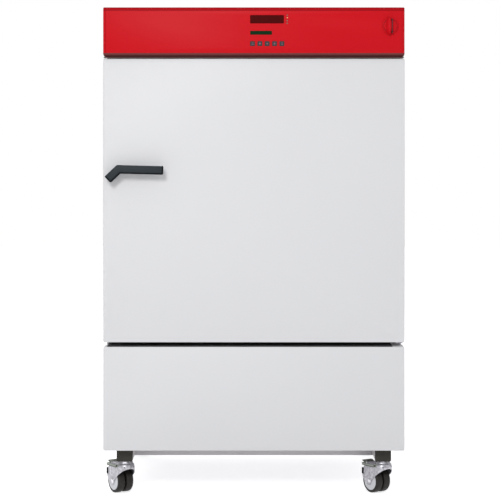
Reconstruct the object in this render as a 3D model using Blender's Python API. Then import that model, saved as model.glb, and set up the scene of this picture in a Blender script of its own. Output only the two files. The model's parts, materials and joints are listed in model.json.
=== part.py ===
"""Refrigerated incubator: an insulated cabinet on castors with a side-hinged door.

Units are metres, +Z is up and the front faces -Y. The origin lies on the floor, under the middle
of the part's outer box. Run with: blender --background --python part.py
"""

import math

import bmesh
import bpy
from mathutils import Matrix, Vector

# Outer sizes
WIDTH = 0.925
DEPTH = 0.800
HOUSING_INSET = 0.006
CLEAR = 0.0003
FACET = 0.0008

# Heights, from the floor up
CASTOR_HEIGHT = 0.1025
RAIL_HEIGHT = 0.0415
LOWER_PANEL_HEIGHT = 0.319
HINGE_GAP = 0.0134
DOOR_HEIGHT = 0.8708
FASCIA_GAP = 0.0045
FASCIA_HEIGHT = 0.1525
HOUSING_DROP = 0.005

# Sheets and walls
HOUSING_SHEET = 0.0012
PANEL_SHEET = 0.0015
LINER_SHEET = 0.0012
REAR_SHEET = 0.0015
FRAME_SHEET = 0.003
FASCIA_WALL = 0.003
PANEL_EDGE = 0.0025
HOUSING_CORNER = 0.006
HOUSING_FLANGE = 0.020
FRAME_LAP = 0.030

# Door
DOOR_THICK = 0.056
DOOR_GAP = 0.012
DOOR_RIM = 0.043
DOOR_FIELD_BORDER = 0.070
DOOR_FIELD_RAISE = 0.008
GASKET_WIDTH = 0.016
GASKET_INSET = 0.008
GASKET_CORNER = 0.002
HINGE_INSET = 0.018
HINGE_BACK = 0.022
HINGE_PIN_RADIUS = 0.0045
HINGE_PIN_LENGTH = 0.014
HINGE_LEAF = 0.003
HINGE_LEAF_WIDTH = 0.030

# Handle
HANDLE_PIVOT_X = 0.0270
HANDLE_RISE = 0.5093
HANDLE_ELBOW = (0.0236, 0.0223)
HANDLE_GRIP = (0.1586, 0.0188)
HANDLE_TAIL = 0.0125
HANDLE_WIDTH = 0.025
HANDLE_THICK = 0.020
HANDLE_REACH = 0.048
HANDLE_EDGE = 0.003
BOSS_RADIUS = 0.0105
SHAFT_RADIUS = 0.006
FINGER_LENGTH = 0.0195
FINGER_RADIUS = 0.0045
FINGER_THICK = 0.005
FINGER_COLLAR = 0.0095

# Chamber
CHAMBER_WIDTH = 0.650
CHAMBER_MARGIN = 0.0429
CHAMBER_DEPTH = 0.560
CHAMBER_CORNER = 0.005
REBATE = 0.020
REBATE_DEPTH = 0.022
REBATE_CORNER = 0.003
LINER_FLANGE = 0.012
FOAM_ABOVE = 0.055
FOAM_BEHIND = 0.075
RIB_LEVELS = 6
RIB_PITCH = 0.110
RIB_REACH = 0.008
RIB_HEIGHT = 0.006
RIB_LENGTH = 0.420
RIB_FIRST = 0.090
RACK_LEVELS = (1, 4)
RACK_DEPTH = 0.440
RACK_THICK = 0.005
RACK_BORDER = 0.009
RACK_WIRE = 0.004
RACK_SLOTS = 13
RACK_ROWS = 1
BAFFLE_DEPTH = 0.075
BAFFLE_SHEET = 0.0015

# Inner glass door
GLASS_EDGE_GAP = 0.0025
GLASS_FRAME_DEPTH = 0.0139
GLASS_STILE = 0.026
GLASS_LIP = 0.004
GLASS_THICK = 0.005
GLASS_PIN_RADIUS = 0.0025
GLASS_PIN_LENGTH = 0.009
GLASS_HINGE_INSET = 0.003
GLASS_SEAT_GAP = 0.0008
GLASS_CORNER = 0.002
GLASS_PULL_RADIUS = 0.009
GLASS_PULL_REACH = 0.008

# Chamber fan and evaporator
FAN_HEIGHT = 0.600
FAN_RADIUS = 0.062
FAN_BLADES = 8
FAN_SHAFT_RADIUS = 0.004
FAN_MOTOR_RADIUS = 0.036
FAN_MOTOR_LENGTH = 0.045
EVAPORATOR_SIZE = (0.420, 0.045, 0.230)
EVAPORATOR_LIFT = 0.120
EVAPORATOR_FINS = 14

# Access port in the left wall
PORT_RADIUS = 0.015
PORT_WALL = 0.0022
PORT_FLANGE_RADIUS = 0.026
PORT_FLANGE = 0.0022
PORT_SIDES = 18
PORT_LEVEL = 3
PORT_Y = -0.020
PLUG_HEAD_RADIUS = 0.021
PLUG_HEAD = 0.0030
PLUG_LENGTH = 0.045

# Fascia and controls
FASCIA_PROUD = 0.004
FASCIA_TOP_BEVEL = 0.011
FASCIA_SIDE_BEVEL = 0.008
FASCIA_BOTTOM_BEVEL = 0.012
FASCIA_BOTTOM_CORNER = 0.009
FASCIA_TOP_CORNER = 0.003
LED_PLACE = (0.0404, 0.0371)
LED_SIZE = (0.1027, 0.0249)
LCD_PLACE = (0.0222, 0.0785)
LCD_SIZE = (0.0662, 0.0113)
DISPLAY_DEPTH = 0.008
LAMP_X = 0.1023
LAMP_DROPS = (0.0247, 0.0321, 0.0416, 0.0496)
LAMP_RADIUS = 0.0021
KEY_COUNT = 5
KEY_FIRST_X = -0.0041
KEY_PITCH = 0.0225
KEY_RISE = 0.0407
KEY_SIZE = 0.0140
KEY_FLANGE = 0.0015
KEY_PROUD = 0.0012
KEY_DEPTH = 0.0068
KEY_TRAVEL = 0.0015
KEY_STOP = 0.0005
BOARD_THICK = 0.002
KNOB_INSET = 0.0444
KNOB_DROP = 0.0575
KNOB_RADIUS = 0.0245
KNOB_DISC = 0.006
KNOB_GRIP = (0.014, 0.056)
KNOB_GRIP_REACH = 0.015
KNOB_SPINDLE = 0.0035

# Machine compartment
PAN_FLANGE = 0.025
COMPRESSOR_SIDE = 0.225
COMPRESSOR_BEHIND = 0.242
COMPRESSOR_RADIUS = 0.088
COMPRESSOR_HEIGHT = 0.175
COMPRESSOR_FEET = 0.018
CONDENSER_SIZE = (0.300, 0.045, 0.230)
CONDENSER_SIDE = 0.275
CONDENSER_BEHIND = 0.030
CONDENSER_FINS = 10
SHROUD_DEPTH = 0.030
SHROUD_SHEET = 0.0015
COOLER_FAN_RADIUS = 0.092
COOLER_FAN_BLADES = 5
COOLER_MOTOR_RADIUS = 0.024
LOUVRE_ROWS = 8
LOUVRE_PITCH = 0.027
LOUVRE_SLOT = (0.300, 0.007)
LOUVRE_FIRST = 0.060

# Base frame
RAIL_WIDTH = 0.050
RAIL_INSET = 0.0625
RAIL_WALL = 0.003
RAIL_FRONT_SETBACK = 0.045
RAIL_BACK_SETBACK = 0.012
CROSSBAR_SETBACK = 0.149
CROSSBAR_DEPTH = 0.030
CAP_THICK = 0.004
CAP_PLUG = 0.015

# Castors: along u the wheel trails behind its king pin, and w runs along the axle
CASTOR_TURN = math.radians(33)
CASTOR_FRONT_SETBACK = 0.068
CASTOR_BACK_SETBACK = 0.090
WHEEL_RADIUS = 0.0375
WHEEL_WIDTH = 0.0215
WHEEL_SPACE = 0.006
WHEEL_EDGE = 0.003
TRAIL = 0.030
HUB_RECESS = 0.0295
HUB_RECESS_DEPTH = 0.0012
AXLE_RADIUS = 0.004
AXLE_HEAD = 0.007
FORK_SHEET = 0.0025
FORK_TOP = 0.095
FORK_FRONT = 0.024
FORK_SHOULDER = 0.005
HOOD_CENTRE = (0.026, 0.056)
HOOD_RADIUS = 0.0395
HUB_BOSS = 0.013
ARCH_TOP = 0.078
REAR_ARCH_TOP = 0.060
KING_PIN_RADIUS = 0.006
RACE_RADIUS = 0.021
STEM_NUT_RADIUS = 0.009
PEDAL_HALF = 0.014
PEDAL_EAR = 0.0028
PEDAL_BOSS = 0.0045
PEDAL_ANGLE = math.radians(42)
PEDAL_REACH = 0.026

# Levels and planes worked out from the sizes above
HOUSING_WIDTH = WIDTH - 2 * HOUSING_INSET
RAIL_X = WIDTH / 2 - RAIL_INSET
RAIL_TOP = CASTOR_HEIGHT + RAIL_HEIGHT
BASE_Z = RAIL_TOP + CLEAR
PANEL_TOP = BASE_Z + LOWER_PANEL_HEIGHT
DOOR_BOTTOM = PANEL_TOP + HINGE_GAP
DOOR_TOP = DOOR_BOTTOM + DOOR_HEIGHT
FASCIA_BOTTOM = DOOR_TOP + FASCIA_GAP
TOP = FASCIA_BOTTOM + FASCIA_HEIGHT
HOUSING_TOP = TOP - HOUSING_DROP
DOOR_FACE = -(DEPTH + HANDLE_REACH) / 2 + HANDLE_REACH
DOOR_BACK = DOOR_FACE + DOOR_THICK
FRAME_FACE = DOOR_BACK + DOOR_GAP
BACK = DOOR_FACE + DEPTH
HOUSING_BACK = BACK - REAR_SHEET - CLEAR
FASCIA_FACE = DOOR_FACE - FASCIA_PROUD
CHAMBER_HEIGHT = DOOR_HEIGHT - 2 * CHAMBER_MARGIN
CHAMBER_BOTTOM = (DOOR_BOTTOM + DOOR_TOP - CHAMBER_HEIGHT) / 2
CHAMBER_TOP = CHAMBER_BOTTOM + CHAMBER_HEIGHT
LINER_FRONT = FRAME_FACE + FRAME_SHEET + CLEAR
STEP_FACE = FRAME_FACE + REBATE_DEPTH
LINER_BACK = STEP_FACE + CHAMBER_DEPTH
FOAM_FRONT = LINER_FRONT + LINER_SHEET + CLEAR
FOAM_BACK = LINER_BACK + LINER_SHEET + CLEAR + FOAM_BEHIND
FOAM_HALF = HOUSING_WIDTH / 2 - HOUSING_SHEET - CLEAR
BAFFLE_FACE = LINER_BACK - BAFFLE_DEPTH
FAN_Z = CHAMBER_BOTTOM + FAN_HEIGHT
PAN_Z = BASE_Z + HOUSING_SHEET + CLEAR
FLOOR_Z = PAN_Z + PANEL_SHEET
HINGE_X = WIDTH / 2 - HINGE_INSET
HINGE_Y = DOOR_FACE + HINGE_BACK
PIVOT_X = -WIDTH / 2 + HANDLE_PIVOT_X
HANDLE_PIVOT_Z = DOOR_BOTTOM + HANDLE_RISE
KEY_Z = FASCIA_BOTTOM + KEY_RISE
KNOB_X = WIDTH / 2 - KNOB_INSET
KNOB_Z = TOP - KNOB_DROP
LAMP_HEIGHTS = [TOP - drop for drop in LAMP_DROPS]
BOARD_DEPTH = KEY_DEPTH + KEY_TRAVEL + KEY_STOP
PORT_Z = CHAMBER_BOTTOM + RIB_FIRST + (PORT_LEVEL + 0.5) * RIB_PITCH
COMPRESSOR_X = FOAM_HALF - COMPRESSOR_SIDE
COMPRESSOR_Y = HOUSING_BACK - COMPRESSOR_BEHIND
CONDENSER_X = CONDENSER_SIDE - FOAM_HALF
GLASS_REAR = STEP_FACE - GLASS_SEAT_GAP
GLASS_FRONT = GLASS_REAR - GLASS_FRAME_DEPTH
GLASS_HALF = CHAMBER_WIDTH / 2 + REBATE - GLASS_EDGE_GAP
GLASS_HINGE_X = GLASS_HALF - GLASS_HINGE_INSET
GLASS_HINGE_Y = GLASS_FRONT + 0.003


def material(name, colour, roughness, metallic=0.0):
    """Return the Principled material of this name, made on first use."""
    if name in bpy.data.materials:
        return bpy.data.materials[name]
    made = bpy.data.materials.new(name)
    made.use_nodes = True
    shader = made.node_tree.nodes["Principled BSDF"]
    shader.inputs["Base Color"].default_value = (*colour, 1.0)
    shader.inputs["Roughness"].default_value = roughness
    shader.inputs["Metallic"].default_value = metallic
    return made


def white_paint():
    return material("white_paint", (0.74, 0.74, 0.77), 0.45)


def red_paint():
    return material("red_paint", (0.60, 0.02, 0.03), 0.35)


def grey_paint():
    return material("grey_paint", (0.42, 0.42, 0.42), 0.5)


def black_plastic():
    return material("black_plastic", (0.03, 0.03, 0.03), 0.55)


def handle_plastic():
    return material("handle_plastic", (0.045, 0.055, 0.06), 0.5)


def stainless():
    return material("stainless", (0.60, 0.60, 0.61), 0.32, 1.0)


def zinc():
    return material("zinc", (0.62, 0.62, 0.64), 0.35, 1.0)


def aluminium():
    return material("aluminium", (0.70, 0.70, 0.72), 0.4, 1.0)


def rubber():
    return material("rubber", (0.02, 0.02, 0.02), 0.8)


def foam():
    return material("foam", (0.80, 0.72, 0.50), 0.9)


def glass():
    return material("glass", (0.75, 0.82, 0.80), 0.05)


def silicone():
    return material("silicone", (0.75, 0.74, 0.70), 0.6)


def add_object(name, mesh, finish, origin=(0.0, 0.0, 0.0), parent=None):
    """Make an object of a bmesh drawn in its parent's frame, with its origin at the given point."""
    bmesh.ops.remove_doubles(mesh, verts=mesh.verts, dist=1e-6)
    bmesh.ops.recalc_face_normals(mesh, faces=mesh.faces)
    bmesh.ops.translate(mesh, vec=-Vector(origin), verts=mesh.verts)
    data = bpy.data.meshes.new(name)
    mesh.to_mesh(data)
    mesh.free()
    data.materials.append(finish)
    data.shade_smooth()
    data.set_sharp_from_angle(angle=math.radians(35))
    made = bpy.data.objects.new(name, data)
    made.location = origin
    made.parent = parent
    bpy.context.collection.objects.link(made)
    return made


def add_empty(name, place, turn=0.0):
    """Make an empty at a joint's axis, turned about Z."""
    made = bpy.data.objects.new(name, None)
    made.location = place
    made.rotation_euler = (0.0, 0.0, turn)
    bpy.context.collection.objects.link(made)
    return made


def combine(target, mesh, operation):
    """Cut a bmesh out of an object, or unite it with the object, in the frame of its parent."""
    tool = add_object("tool", mesh, target.data.materials[0], parent=target.parent)
    modifier = target.modifiers.new("combine", "BOOLEAN")
    modifier.solver = "EXACT"
    modifier.operation = operation
    modifier.object = tool
    bpy.context.view_layer.update()
    evaluated = target.evaluated_get(bpy.context.evaluated_depsgraph_get())
    data = bpy.data.meshes.new_from_object(evaluated)
    target.modifiers.clear()
    old = target.data
    target.data = data
    data.name = target.name
    bpy.data.meshes.remove(old)
    bpy.data.objects.remove(tool)
    data.shade_smooth()
    data.set_sharp_from_angle(angle=math.radians(35))
    return target


def cut(target, *meshes):
    for mesh in meshes:
        combine(target, mesh, "DIFFERENCE")
    return target


def unite(target, *meshes):
    for mesh in meshes:
        combine(target, mesh, "UNION")
    return target


def merged(meshes):
    """Put several separate bmeshes into one, to be used as one tool."""
    result = bmesh.new()
    for mesh in meshes:
        data = bpy.data.meshes.new("piece")
        bmesh.ops.recalc_face_normals(mesh, faces=mesh.faces)
        mesh.to_mesh(data)
        mesh.free()
        result.from_mesh(data)
        bpy.data.meshes.remove(data)
    return result


def box(low, high):
    """Box between two corners."""
    mesh = bmesh.new()
    size = [b - a for a, b in zip(low, high)]
    middle = [(a + b) / 2 for a, b in zip(low, high)]
    place = Matrix.Translation(middle) @ Matrix.Diagonal((*size, 1.0))
    bmesh.ops.create_cube(mesh, size=1.0, matrix=place)
    return mesh


def place_point(axis, first, second, along):
    """Put a flat point and a distance along the axis into space."""
    if axis == "x":
        return Vector((along, first, second))
    if axis == "y":
        return Vector((first, along, second))
    return Vector((first, second, along))


def prism(outline, axis, start, end):
    """Flat outline drawn across an axis and extruded along it."""
    mesh = bmesh.new()
    verts = [mesh.verts.new(place_point(axis, a, b, start)) for a, b in outline]
    face = mesh.faces.new(verts)
    moved = bmesh.ops.extrude_face_region(mesh, geom=[face])["geom"]
    tops = [part for part in moved if isinstance(part, bmesh.types.BMVert)]
    shift = place_point(axis, 0.0, 0.0, end - start)
    bmesh.ops.translate(mesh, vec=shift, verts=tops)
    return mesh


def revolve(profile, axis, centre, segments):
    """Closed outline of (radius, distance along the axis) turned once about the axis."""
    mesh = bmesh.new()
    side = {"x": (0, 1, 0), "y": (1, 0, 0), "z": (1, 0, 0)}[axis]
    line = {"x": (1, 0, 0), "y": (0, 1, 0), "z": (0, 0, 1)}[axis]
    centre = Vector(centre)
    verts = [mesh.verts.new(centre + Vector(side) * r + Vector(line) * h) for r, h in profile]
    edges = []
    for first, second in zip(verts, verts[1:] + verts[:1]):
        edges.append(mesh.edges.new((first, second)))
    bmesh.ops.spin(mesh, geom=verts + edges, cent=centre, axis=line, angle=2 * math.pi,
                   steps=segments, use_merge=True, use_duplicate=False)
    bmesh.ops.remove_doubles(mesh, verts=mesh.verts, dist=1e-6)
    loose = [edge for edge in mesh.edges if not edge.link_faces]
    bmesh.ops.delete(mesh, geom=loose, context="EDGES")
    return mesh


def cylinder(axis, centre, radius, start, end, segments=16):
    """Solid cylinder along an axis, between two distances from its centre."""
    return prism(circle(flat(axis, centre), radius, segments), axis,
                 along(axis, centre) + start, along(axis, centre) + end)


def flat(axis, point):
    """The two coordinates of a point across an axis."""
    return {"x": (point[1], point[2]), "y": (point[0], point[2]), "z": (point[0], point[1])}[axis]


def along(axis, point):
    return point["xyz".index(axis)]


def circle(centre, radius, segments):
    """Points of a whole circle."""
    return arc(centre, radius, 0.0, 2 * math.pi, segments)[:-1]


def arc(centre, radius, start, end, steps):
    """Points along an arc, both ends included."""
    points = []
    for step in range(steps + 1):
        angle = start + (end - start) * step / steps
        points.append((centre[0] + radius * math.cos(angle), centre[1] + radius * math.sin(angle)))
    return points


def rounded(low_a, high_a, low_b, high_b, radius, steps=2, upper=None):
    """Rectangle with rounded corners; upper is the radius of the two corners at high_b."""
    upper = radius if upper is None else upper
    quarter = math.pi / 2
    corners = [
        (high_a - upper, high_b - upper, upper, 0.0),
        (low_a + upper, high_b - upper, upper, quarter),
        (low_a + radius, low_b + radius, radius, 2 * quarter),
        (high_a - radius, low_b + radius, radius, 3 * quarter),
    ]
    points = []
    for a, b, size, start in corners:
        points += arc((a, b), size, start, start + quarter, steps)
    return points


def loft(rings, axis, closed=False):
    """Join outlines of equal length, each given as (outline, distance along the axis)."""
    mesh = bmesh.new()
    loops = []
    for outline, distance in rings:
        loops.append([mesh.verts.new(place_point(axis, a, b, distance)) for a, b in outline])
    pairs = list(zip(loops, loops[1:]))
    if closed:
        pairs.append((loops[-1], loops[0]))
    for first, second in pairs:
        for step in range(len(first)):
            following = (step + 1) % len(first)
            mesh.faces.new((first[step], first[following], second[following], second[step]))
    if not closed:
        mesh.faces.new(loops[0])
        mesh.faces.new(loops[-1])
    return mesh


def around(half, low, high, grow, radius, steps=1):
    """Rounded outline about X = 0, grown outwards by one distance."""
    return rounded(-half - grow, half + grow, low - grow, high + grow, radius, steps)


def bar_outline(points, width):
    """Outline of a bent bar that follows a line of points, with mitred bends."""
    half = width / 2
    left, right = [], []
    for index, point in enumerate(points):
        before = Vector(point) - Vector(points[index - 1]) if index else None
        after = Vector(points[index + 1]) - Vector(point) if index + 1 < len(points) else None
        directions = [vector.normalized() for vector in (before, after) if vector is not None]
        tangent = sum(directions, Vector((0.0, 0.0))).normalized()
        normal = Vector((-tangent.y, tangent.x))
        stretch = half / max(0.2, tangent.dot(directions[0]))
        left.append(tuple(Vector(point) + normal * stretch))
        right.append(tuple(Vector(point) - normal * stretch))
    return left + right[::-1]


def bevelled(mesh, width, segments, chosen):
    """Round the edges of a bmesh that the test picks."""
    bmesh.ops.recalc_face_normals(mesh, faces=mesh.faces)
    edges = [edge for edge in mesh.edges if chosen(edge)]
    bmesh.ops.bevel(mesh, geom=edges, offset=width, segments=segments, profile=0.5,
                    affect="EDGES", clamp_overlap=True)
    return mesh


def comb(low, high, fins, spine, share):
    """Outline of a row of fins on a spine, seen from above: a finned heat exchanger."""
    pitch = (high[0] - low[0]) / fins
    points = [(low[0], high[1]), (low[0], low[1])]
    for index in range(fins):
        start = low[0] + pitch * index
        fin_end = start + pitch * share
        points.append((fin_end, low[1]))
        if index + 1 < fins:
            points.append((fin_end, high[1] - spine))
            points.append((start + pitch, high[1] - spine))
            points.append((start + pitch, low[1]))
    points.append((low[0] + pitch * (fins - 1 + share), high[1]))
    return points


def pan(half, low, high, face, back, sheet, rim, edge):
    """Pressed panel: a face with rounded front edges, deep returns and a rim turned inwards."""
    def outline(grow):
        return rounded(-half - grow, half + grow, low - grow, high + grow, 0.004 + max(grow, -0.003))

    rings = [
        (outline(-sheet), face + sheet),
        (outline(-sheet), back - sheet),
        (outline(-rim), back - sheet),
        (outline(-rim), back),
        (outline(-edge * 0.4), back),
        (outline(0.0), back - edge * 0.4),
        (outline(0.0), face + edge),
        (outline(-edge * 0.3), face + edge * 0.3),
        (outline(-edge), face),
    ]
    return loft(rings, "y")


def make_outer_housing():
    """Side and top sheet folded as one, with flanges turned in under the base pan."""
    half = HOUSING_WIDTH / 2
    quarter = math.pi / 2
    inner_corner = HOUSING_CORNER - HOUSING_SHEET
    corner_z = HOUSING_TOP - HOUSING_CORNER
    outline = [(-half + HOUSING_FLANGE, BASE_Z), (-half, BASE_Z)]
    outline += arc((-half + HOUSING_CORNER, corner_z), HOUSING_CORNER, 2 * quarter, quarter, 4)
    outline += arc((half - HOUSING_CORNER, corner_z), HOUSING_CORNER, quarter, 0.0, 4)
    outline += [(half, BASE_Z), (half - HOUSING_FLANGE, BASE_Z)]
    outline += [(half - HOUSING_FLANGE, BASE_Z + HOUSING_SHEET)]
    outline += [(half - HOUSING_SHEET, BASE_Z + HOUSING_SHEET)]
    outline += arc((half - HOUSING_CORNER, corner_z), inner_corner, 0.0, quarter, 4)
    outline += arc((-half + HOUSING_CORNER, corner_z), inner_corner, quarter, 2 * quarter, 4)
    outline += [(-half + HOUSING_SHEET, BASE_Z + HOUSING_SHEET)]
    outline += [(-half + HOUSING_FLANGE, BASE_Z + HOUSING_SHEET)]
    housing = add_object("outer_housing", prism(outline, "y", FRAME_FACE, HOUSING_BACK),
                         white_paint())
    return cut(housing, port_hole(-half - 0.01, -half + 0.01))


def port_outer():
    return PORT_RADIUS + PORT_WALL


def port_hole(start, end):
    """Hole for the port's tube between two X planes."""
    return cylinder("x", (0.0, PORT_Y, PORT_Z), port_outer() + CLEAR, start, end, PORT_SIDES)


def make_rear_panel():
    """Flat rear panel with rows of air slots over the machine compartment."""
    half = HOUSING_WIDTH / 2
    outline = rounded(-half, half, BASE_Z, HOUSING_TOP, HOUSING_CORNER)
    panel = add_object("rear_panel", prism(outline, "y", HOUSING_BACK + CLEAR, BACK), grey_paint())
    slots = []
    for row in range(LOUVRE_ROWS):
        low = BASE_Z + LOUVRE_FIRST + row * LOUVRE_PITCH
        for centre in (-LOUVRE_SLOT[0] * 0.6, LOUVRE_SLOT[0] * 0.6):
            slots.append(box((centre - LOUVRE_SLOT[0] / 2, HOUSING_BACK - 0.005, low),
                             (centre + LOUVRE_SLOT[0] / 2, BACK + 0.005, low + LOUVRE_SLOT[1])))
    return cut(panel, merged(slots))


def chamber_outline(grow):
    """Outline of the chamber's walls, grown outwards."""
    corner = CHAMBER_CORNER + grow
    return around(CHAMBER_WIDTH / 2, CHAMBER_BOTTOM, CHAMBER_TOP, grow, corner)


def rebate_outline(grow):
    """Outline of the rebate that the inner glass door closes into, grown outwards."""
    corner = REBATE_CORNER + grow
    return around(CHAMBER_WIDTH / 2, CHAMBER_BOTTOM, CHAMBER_TOP, REBATE + grow, corner)


def shaft_hole(radius, start, end):
    return cylinder("y", (0.0, 0.0, FAN_Z), radius, start, end, 16)


def glass_pin_holes(radius, reach):
    """Holes for the pins of the inner glass door, above and below the rebate."""
    top = CHAMBER_TOP + REBATE
    bottom = CHAMBER_BOTTOM - REBATE
    place = (GLASS_HINGE_X, GLASS_HINGE_Y, 0.0)
    overlap = 0.002
    return [
        cylinder("z", place, radius, top - overlap, top + reach, 12),
        cylinder("z", place, radius, bottom - reach, bottom + overlap, 12),
    ]


def make_foam_body():
    """Insulating foam between the outer housing and the chamber, open to the front."""
    skin = LINER_SHEET + CLEAR
    low = CHAMBER_BOTTOM - FOAM_ABOVE
    high = CHAMBER_TOP + FOAM_ABOVE
    outer = rounded(-FOAM_HALF, FOAM_HALF, low, high, 0.004, 1)
    rings = [
        (chamber_outline(skin), LINER_BACK + skin),
        (chamber_outline(skin), STEP_FACE + skin),
        (rebate_outline(skin), STEP_FACE + skin),
        (rebate_outline(skin), FOAM_FRONT),
        (outer, FOAM_FRONT),
        (outer, FOAM_BACK),
    ]
    body = add_object("foam_body", loft(rings, "y"), foam())
    port = port_hole(-FOAM_HALF - 0.01, -CHAMBER_WIDTH / 2)
    holes = glass_pin_holes(GLASS_PIN_RADIUS + 3 * CLEAR, GLASS_PIN_LENGTH + 0.001)
    return cut(body, port, shaft_hole(FAN_SHAFT_RADIUS + FACET, LINER_BACK, FOAM_BACK + 0.01),
               merged(holes))


def rack_ribs():
    """Pressed beads along both side walls that carry the racks."""
    half = CHAMBER_WIDTH / 2
    start = STEP_FACE + 0.030
    ribs = []
    for level in range(RIB_LEVELS):
        middle = rib_height(level)
        for side in (-1, 1):
            outline = [
                (side * (half + LINER_SHEET / 2), middle - RIB_HEIGHT),
                (side * (half - RIB_REACH), middle - RIB_HEIGHT / 3),
                (side * (half - RIB_REACH), middle + RIB_HEIGHT / 2),
                (side * (half + LINER_SHEET / 2), middle + RIB_HEIGHT / 2),
            ]
            ribs.append(prism(outline, "y", start, start + RIB_LENGTH))
    return merged(ribs)


def rib_height(level):
    return CHAMBER_BOTTOM + RIB_FIRST + level * RIB_PITCH


def make_inner_chamber():
    """Stainless chamber: one folded shell with a rebate for the glass door and a front flange."""
    sheet = LINER_SHEET
    rings = [
        (chamber_outline(0.0), LINER_BACK),
        (chamber_outline(0.0), STEP_FACE),
        (rebate_outline(0.0), STEP_FACE),
        (rebate_outline(0.0), LINER_FRONT),
        (rebate_outline(LINER_FLANGE), LINER_FRONT),
        (rebate_outline(LINER_FLANGE), LINER_FRONT + sheet),
        (rebate_outline(sheet), LINER_FRONT + sheet),
        (rebate_outline(sheet), STEP_FACE + sheet),
        (chamber_outline(sheet), STEP_FACE + sheet),
        (chamber_outline(sheet), LINER_BACK + sheet),
    ]
    chamber = add_object("inner_chamber", loft(rings, "y"), stainless())
    unite(chamber, rack_ribs())
    port = port_hole(-CHAMBER_WIDTH / 2 - 0.005, -CHAMBER_WIDTH / 2 + 0.005)
    holes = glass_pin_holes(GLASS_PIN_RADIUS + CLEAR, 0.005)
    return cut(chamber, port, shaft_hole(FAN_SHAFT_RADIUS + FACET, LINER_BACK - 0.005,
                                         LINER_BACK + 0.005), merged(holes))


def make_front_frame():
    """Front frame round the opening, on which the gasket seals."""
    half = FOAM_HALF
    outer = rounded(-half, half, PANEL_TOP - FRAME_LAP, FASCIA_BOTTOM + FRAME_LAP, 0.004, 1)
    inner = rebate_outline(0.0)
    back = FRAME_FACE + FRAME_SHEET
    rings = [(outer, FRAME_FACE), (outer, back), (inner, back), (inner, FRAME_FACE)]
    return add_object("front_frame", loft(rings, "y", closed=True), white_paint())


def make_lower_front_panel():
    shell = pan(WIDTH / 2, BASE_Z, PANEL_TOP, DOOR_FACE, FRAME_FACE - CLEAR, PANEL_SHEET,
                0.020, PANEL_EDGE)
    return add_object("lower_front_panel", shell, white_paint())


def make_fascia():
    """Control fascia: a deep red panel with sloping front borders, open to the rear."""
    half = WIDTH / 2
    slope = 0.008

    def outline(side, top, bottom, corner, upper):
        return rounded(-half + side, half - side, FASCIA_BOTTOM + bottom, TOP - top, corner,
                       upper=upper)

    wall = FASCIA_WALL
    back = FRAME_FACE - CLEAR
    inner = outline(wall, wall, wall, FASCIA_BOTTOM_CORNER - wall, 0.001)
    narrow = outline(FASCIA_SIDE_BEVEL, FASCIA_TOP_BEVEL, FASCIA_BOTTOM_BEVEL,
                     FASCIA_BOTTOM_CORNER, FASCIA_TOP_CORNER)
    middle = outline(FASCIA_SIDE_BEVEL * 0.2, FASCIA_TOP_BEVEL * 0.25, FASCIA_BOTTOM_BEVEL * 0.3,
                     FASCIA_BOTTOM_CORNER, FASCIA_TOP_CORNER)
    full = outline(0.0, 0.0, 0.0, FASCIA_BOTTOM_CORNER, FASCIA_TOP_CORNER)
    inner_front = outline(FASCIA_SIDE_BEVEL, FASCIA_TOP_BEVEL, FASCIA_BOTTOM_BEVEL,
                          FASCIA_BOTTOM_CORNER - wall, 0.001)
    rings = [
        (inner_front, FASCIA_FACE + wall),
        (inner, FASCIA_FACE + wall + slope),
        (inner, back),
        (full, back),
        (full, FASCIA_FACE + slope),
        (middle, FASCIA_FACE + slope * 0.4),
        (narrow, FASCIA_FACE),
    ]
    fascia = add_object("fascia", loft(rings, "y"), red_paint())
    holes = [
        display_block(LED_PLACE, LED_SIZE, CLEAR, -0.01, 0.01),
        display_block(LCD_PLACE, LCD_SIZE, CLEAR, -0.01, 0.01),
        cylinder("y", (KNOB_X, FASCIA_FACE, KNOB_Z), KNOB_SPINDLE + CLEAR + FACET / 4,
                 -0.01, 0.01, 16),
    ]
    for height in LAMP_HEIGHTS:
        holes.append(cylinder("y", (LAMP_X, FASCIA_FACE, height), LAMP_RADIUS + CLEAR,
                              -0.01, 0.01, 10))
    for index in range(KEY_COUNT):
        holes.append(key_block(index, CLEAR, FASCIA_FACE - 0.01, FASCIA_FACE + 0.01))
    return cut(fascia, merged(holes))


def display_block(place, size, grow, start, end):
    """Block of a display window, grown sideways, between two distances from the fascia's face."""
    x, z = place[0], TOP - place[1]
    width, height = size
    outline = rounded(x - width / 2 - grow, x + width / 2 + grow, z - height / 2 - grow,
                      z + height / 2 + grow, 0.0008 + grow, 1)
    return prism(outline, "y", FASCIA_FACE + start, FASCIA_FACE + end)


def key_block(index, grow, start, end):
    """Block of one key, grown sideways."""
    half = KEY_SIZE / 2 + grow
    x = KEY_FIRST_X + index * KEY_PITCH
    outline = rounded(x - half, x + half, KEY_Z - half, KEY_Z + half, 0.0012, 1)
    return prism(outline, "y", start, end)


def make_displays():
    dark_red = material("led_window", (0.10, 0.005, 0.008), 0.12)
    led = display_block(LED_PLACE, LED_SIZE, 0.0, CLEAR, DISPLAY_DEPTH)
    add_object("led_display", led, dark_red)
    dark_green = material("lcd_window", (0.02, 0.03, 0.02), 0.15)
    lcd = display_block(LCD_PLACE, LCD_SIZE, 0.0, CLEAR, DISPLAY_DEPTH)
    add_object("lcd_display", lcd, dark_green)


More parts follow.
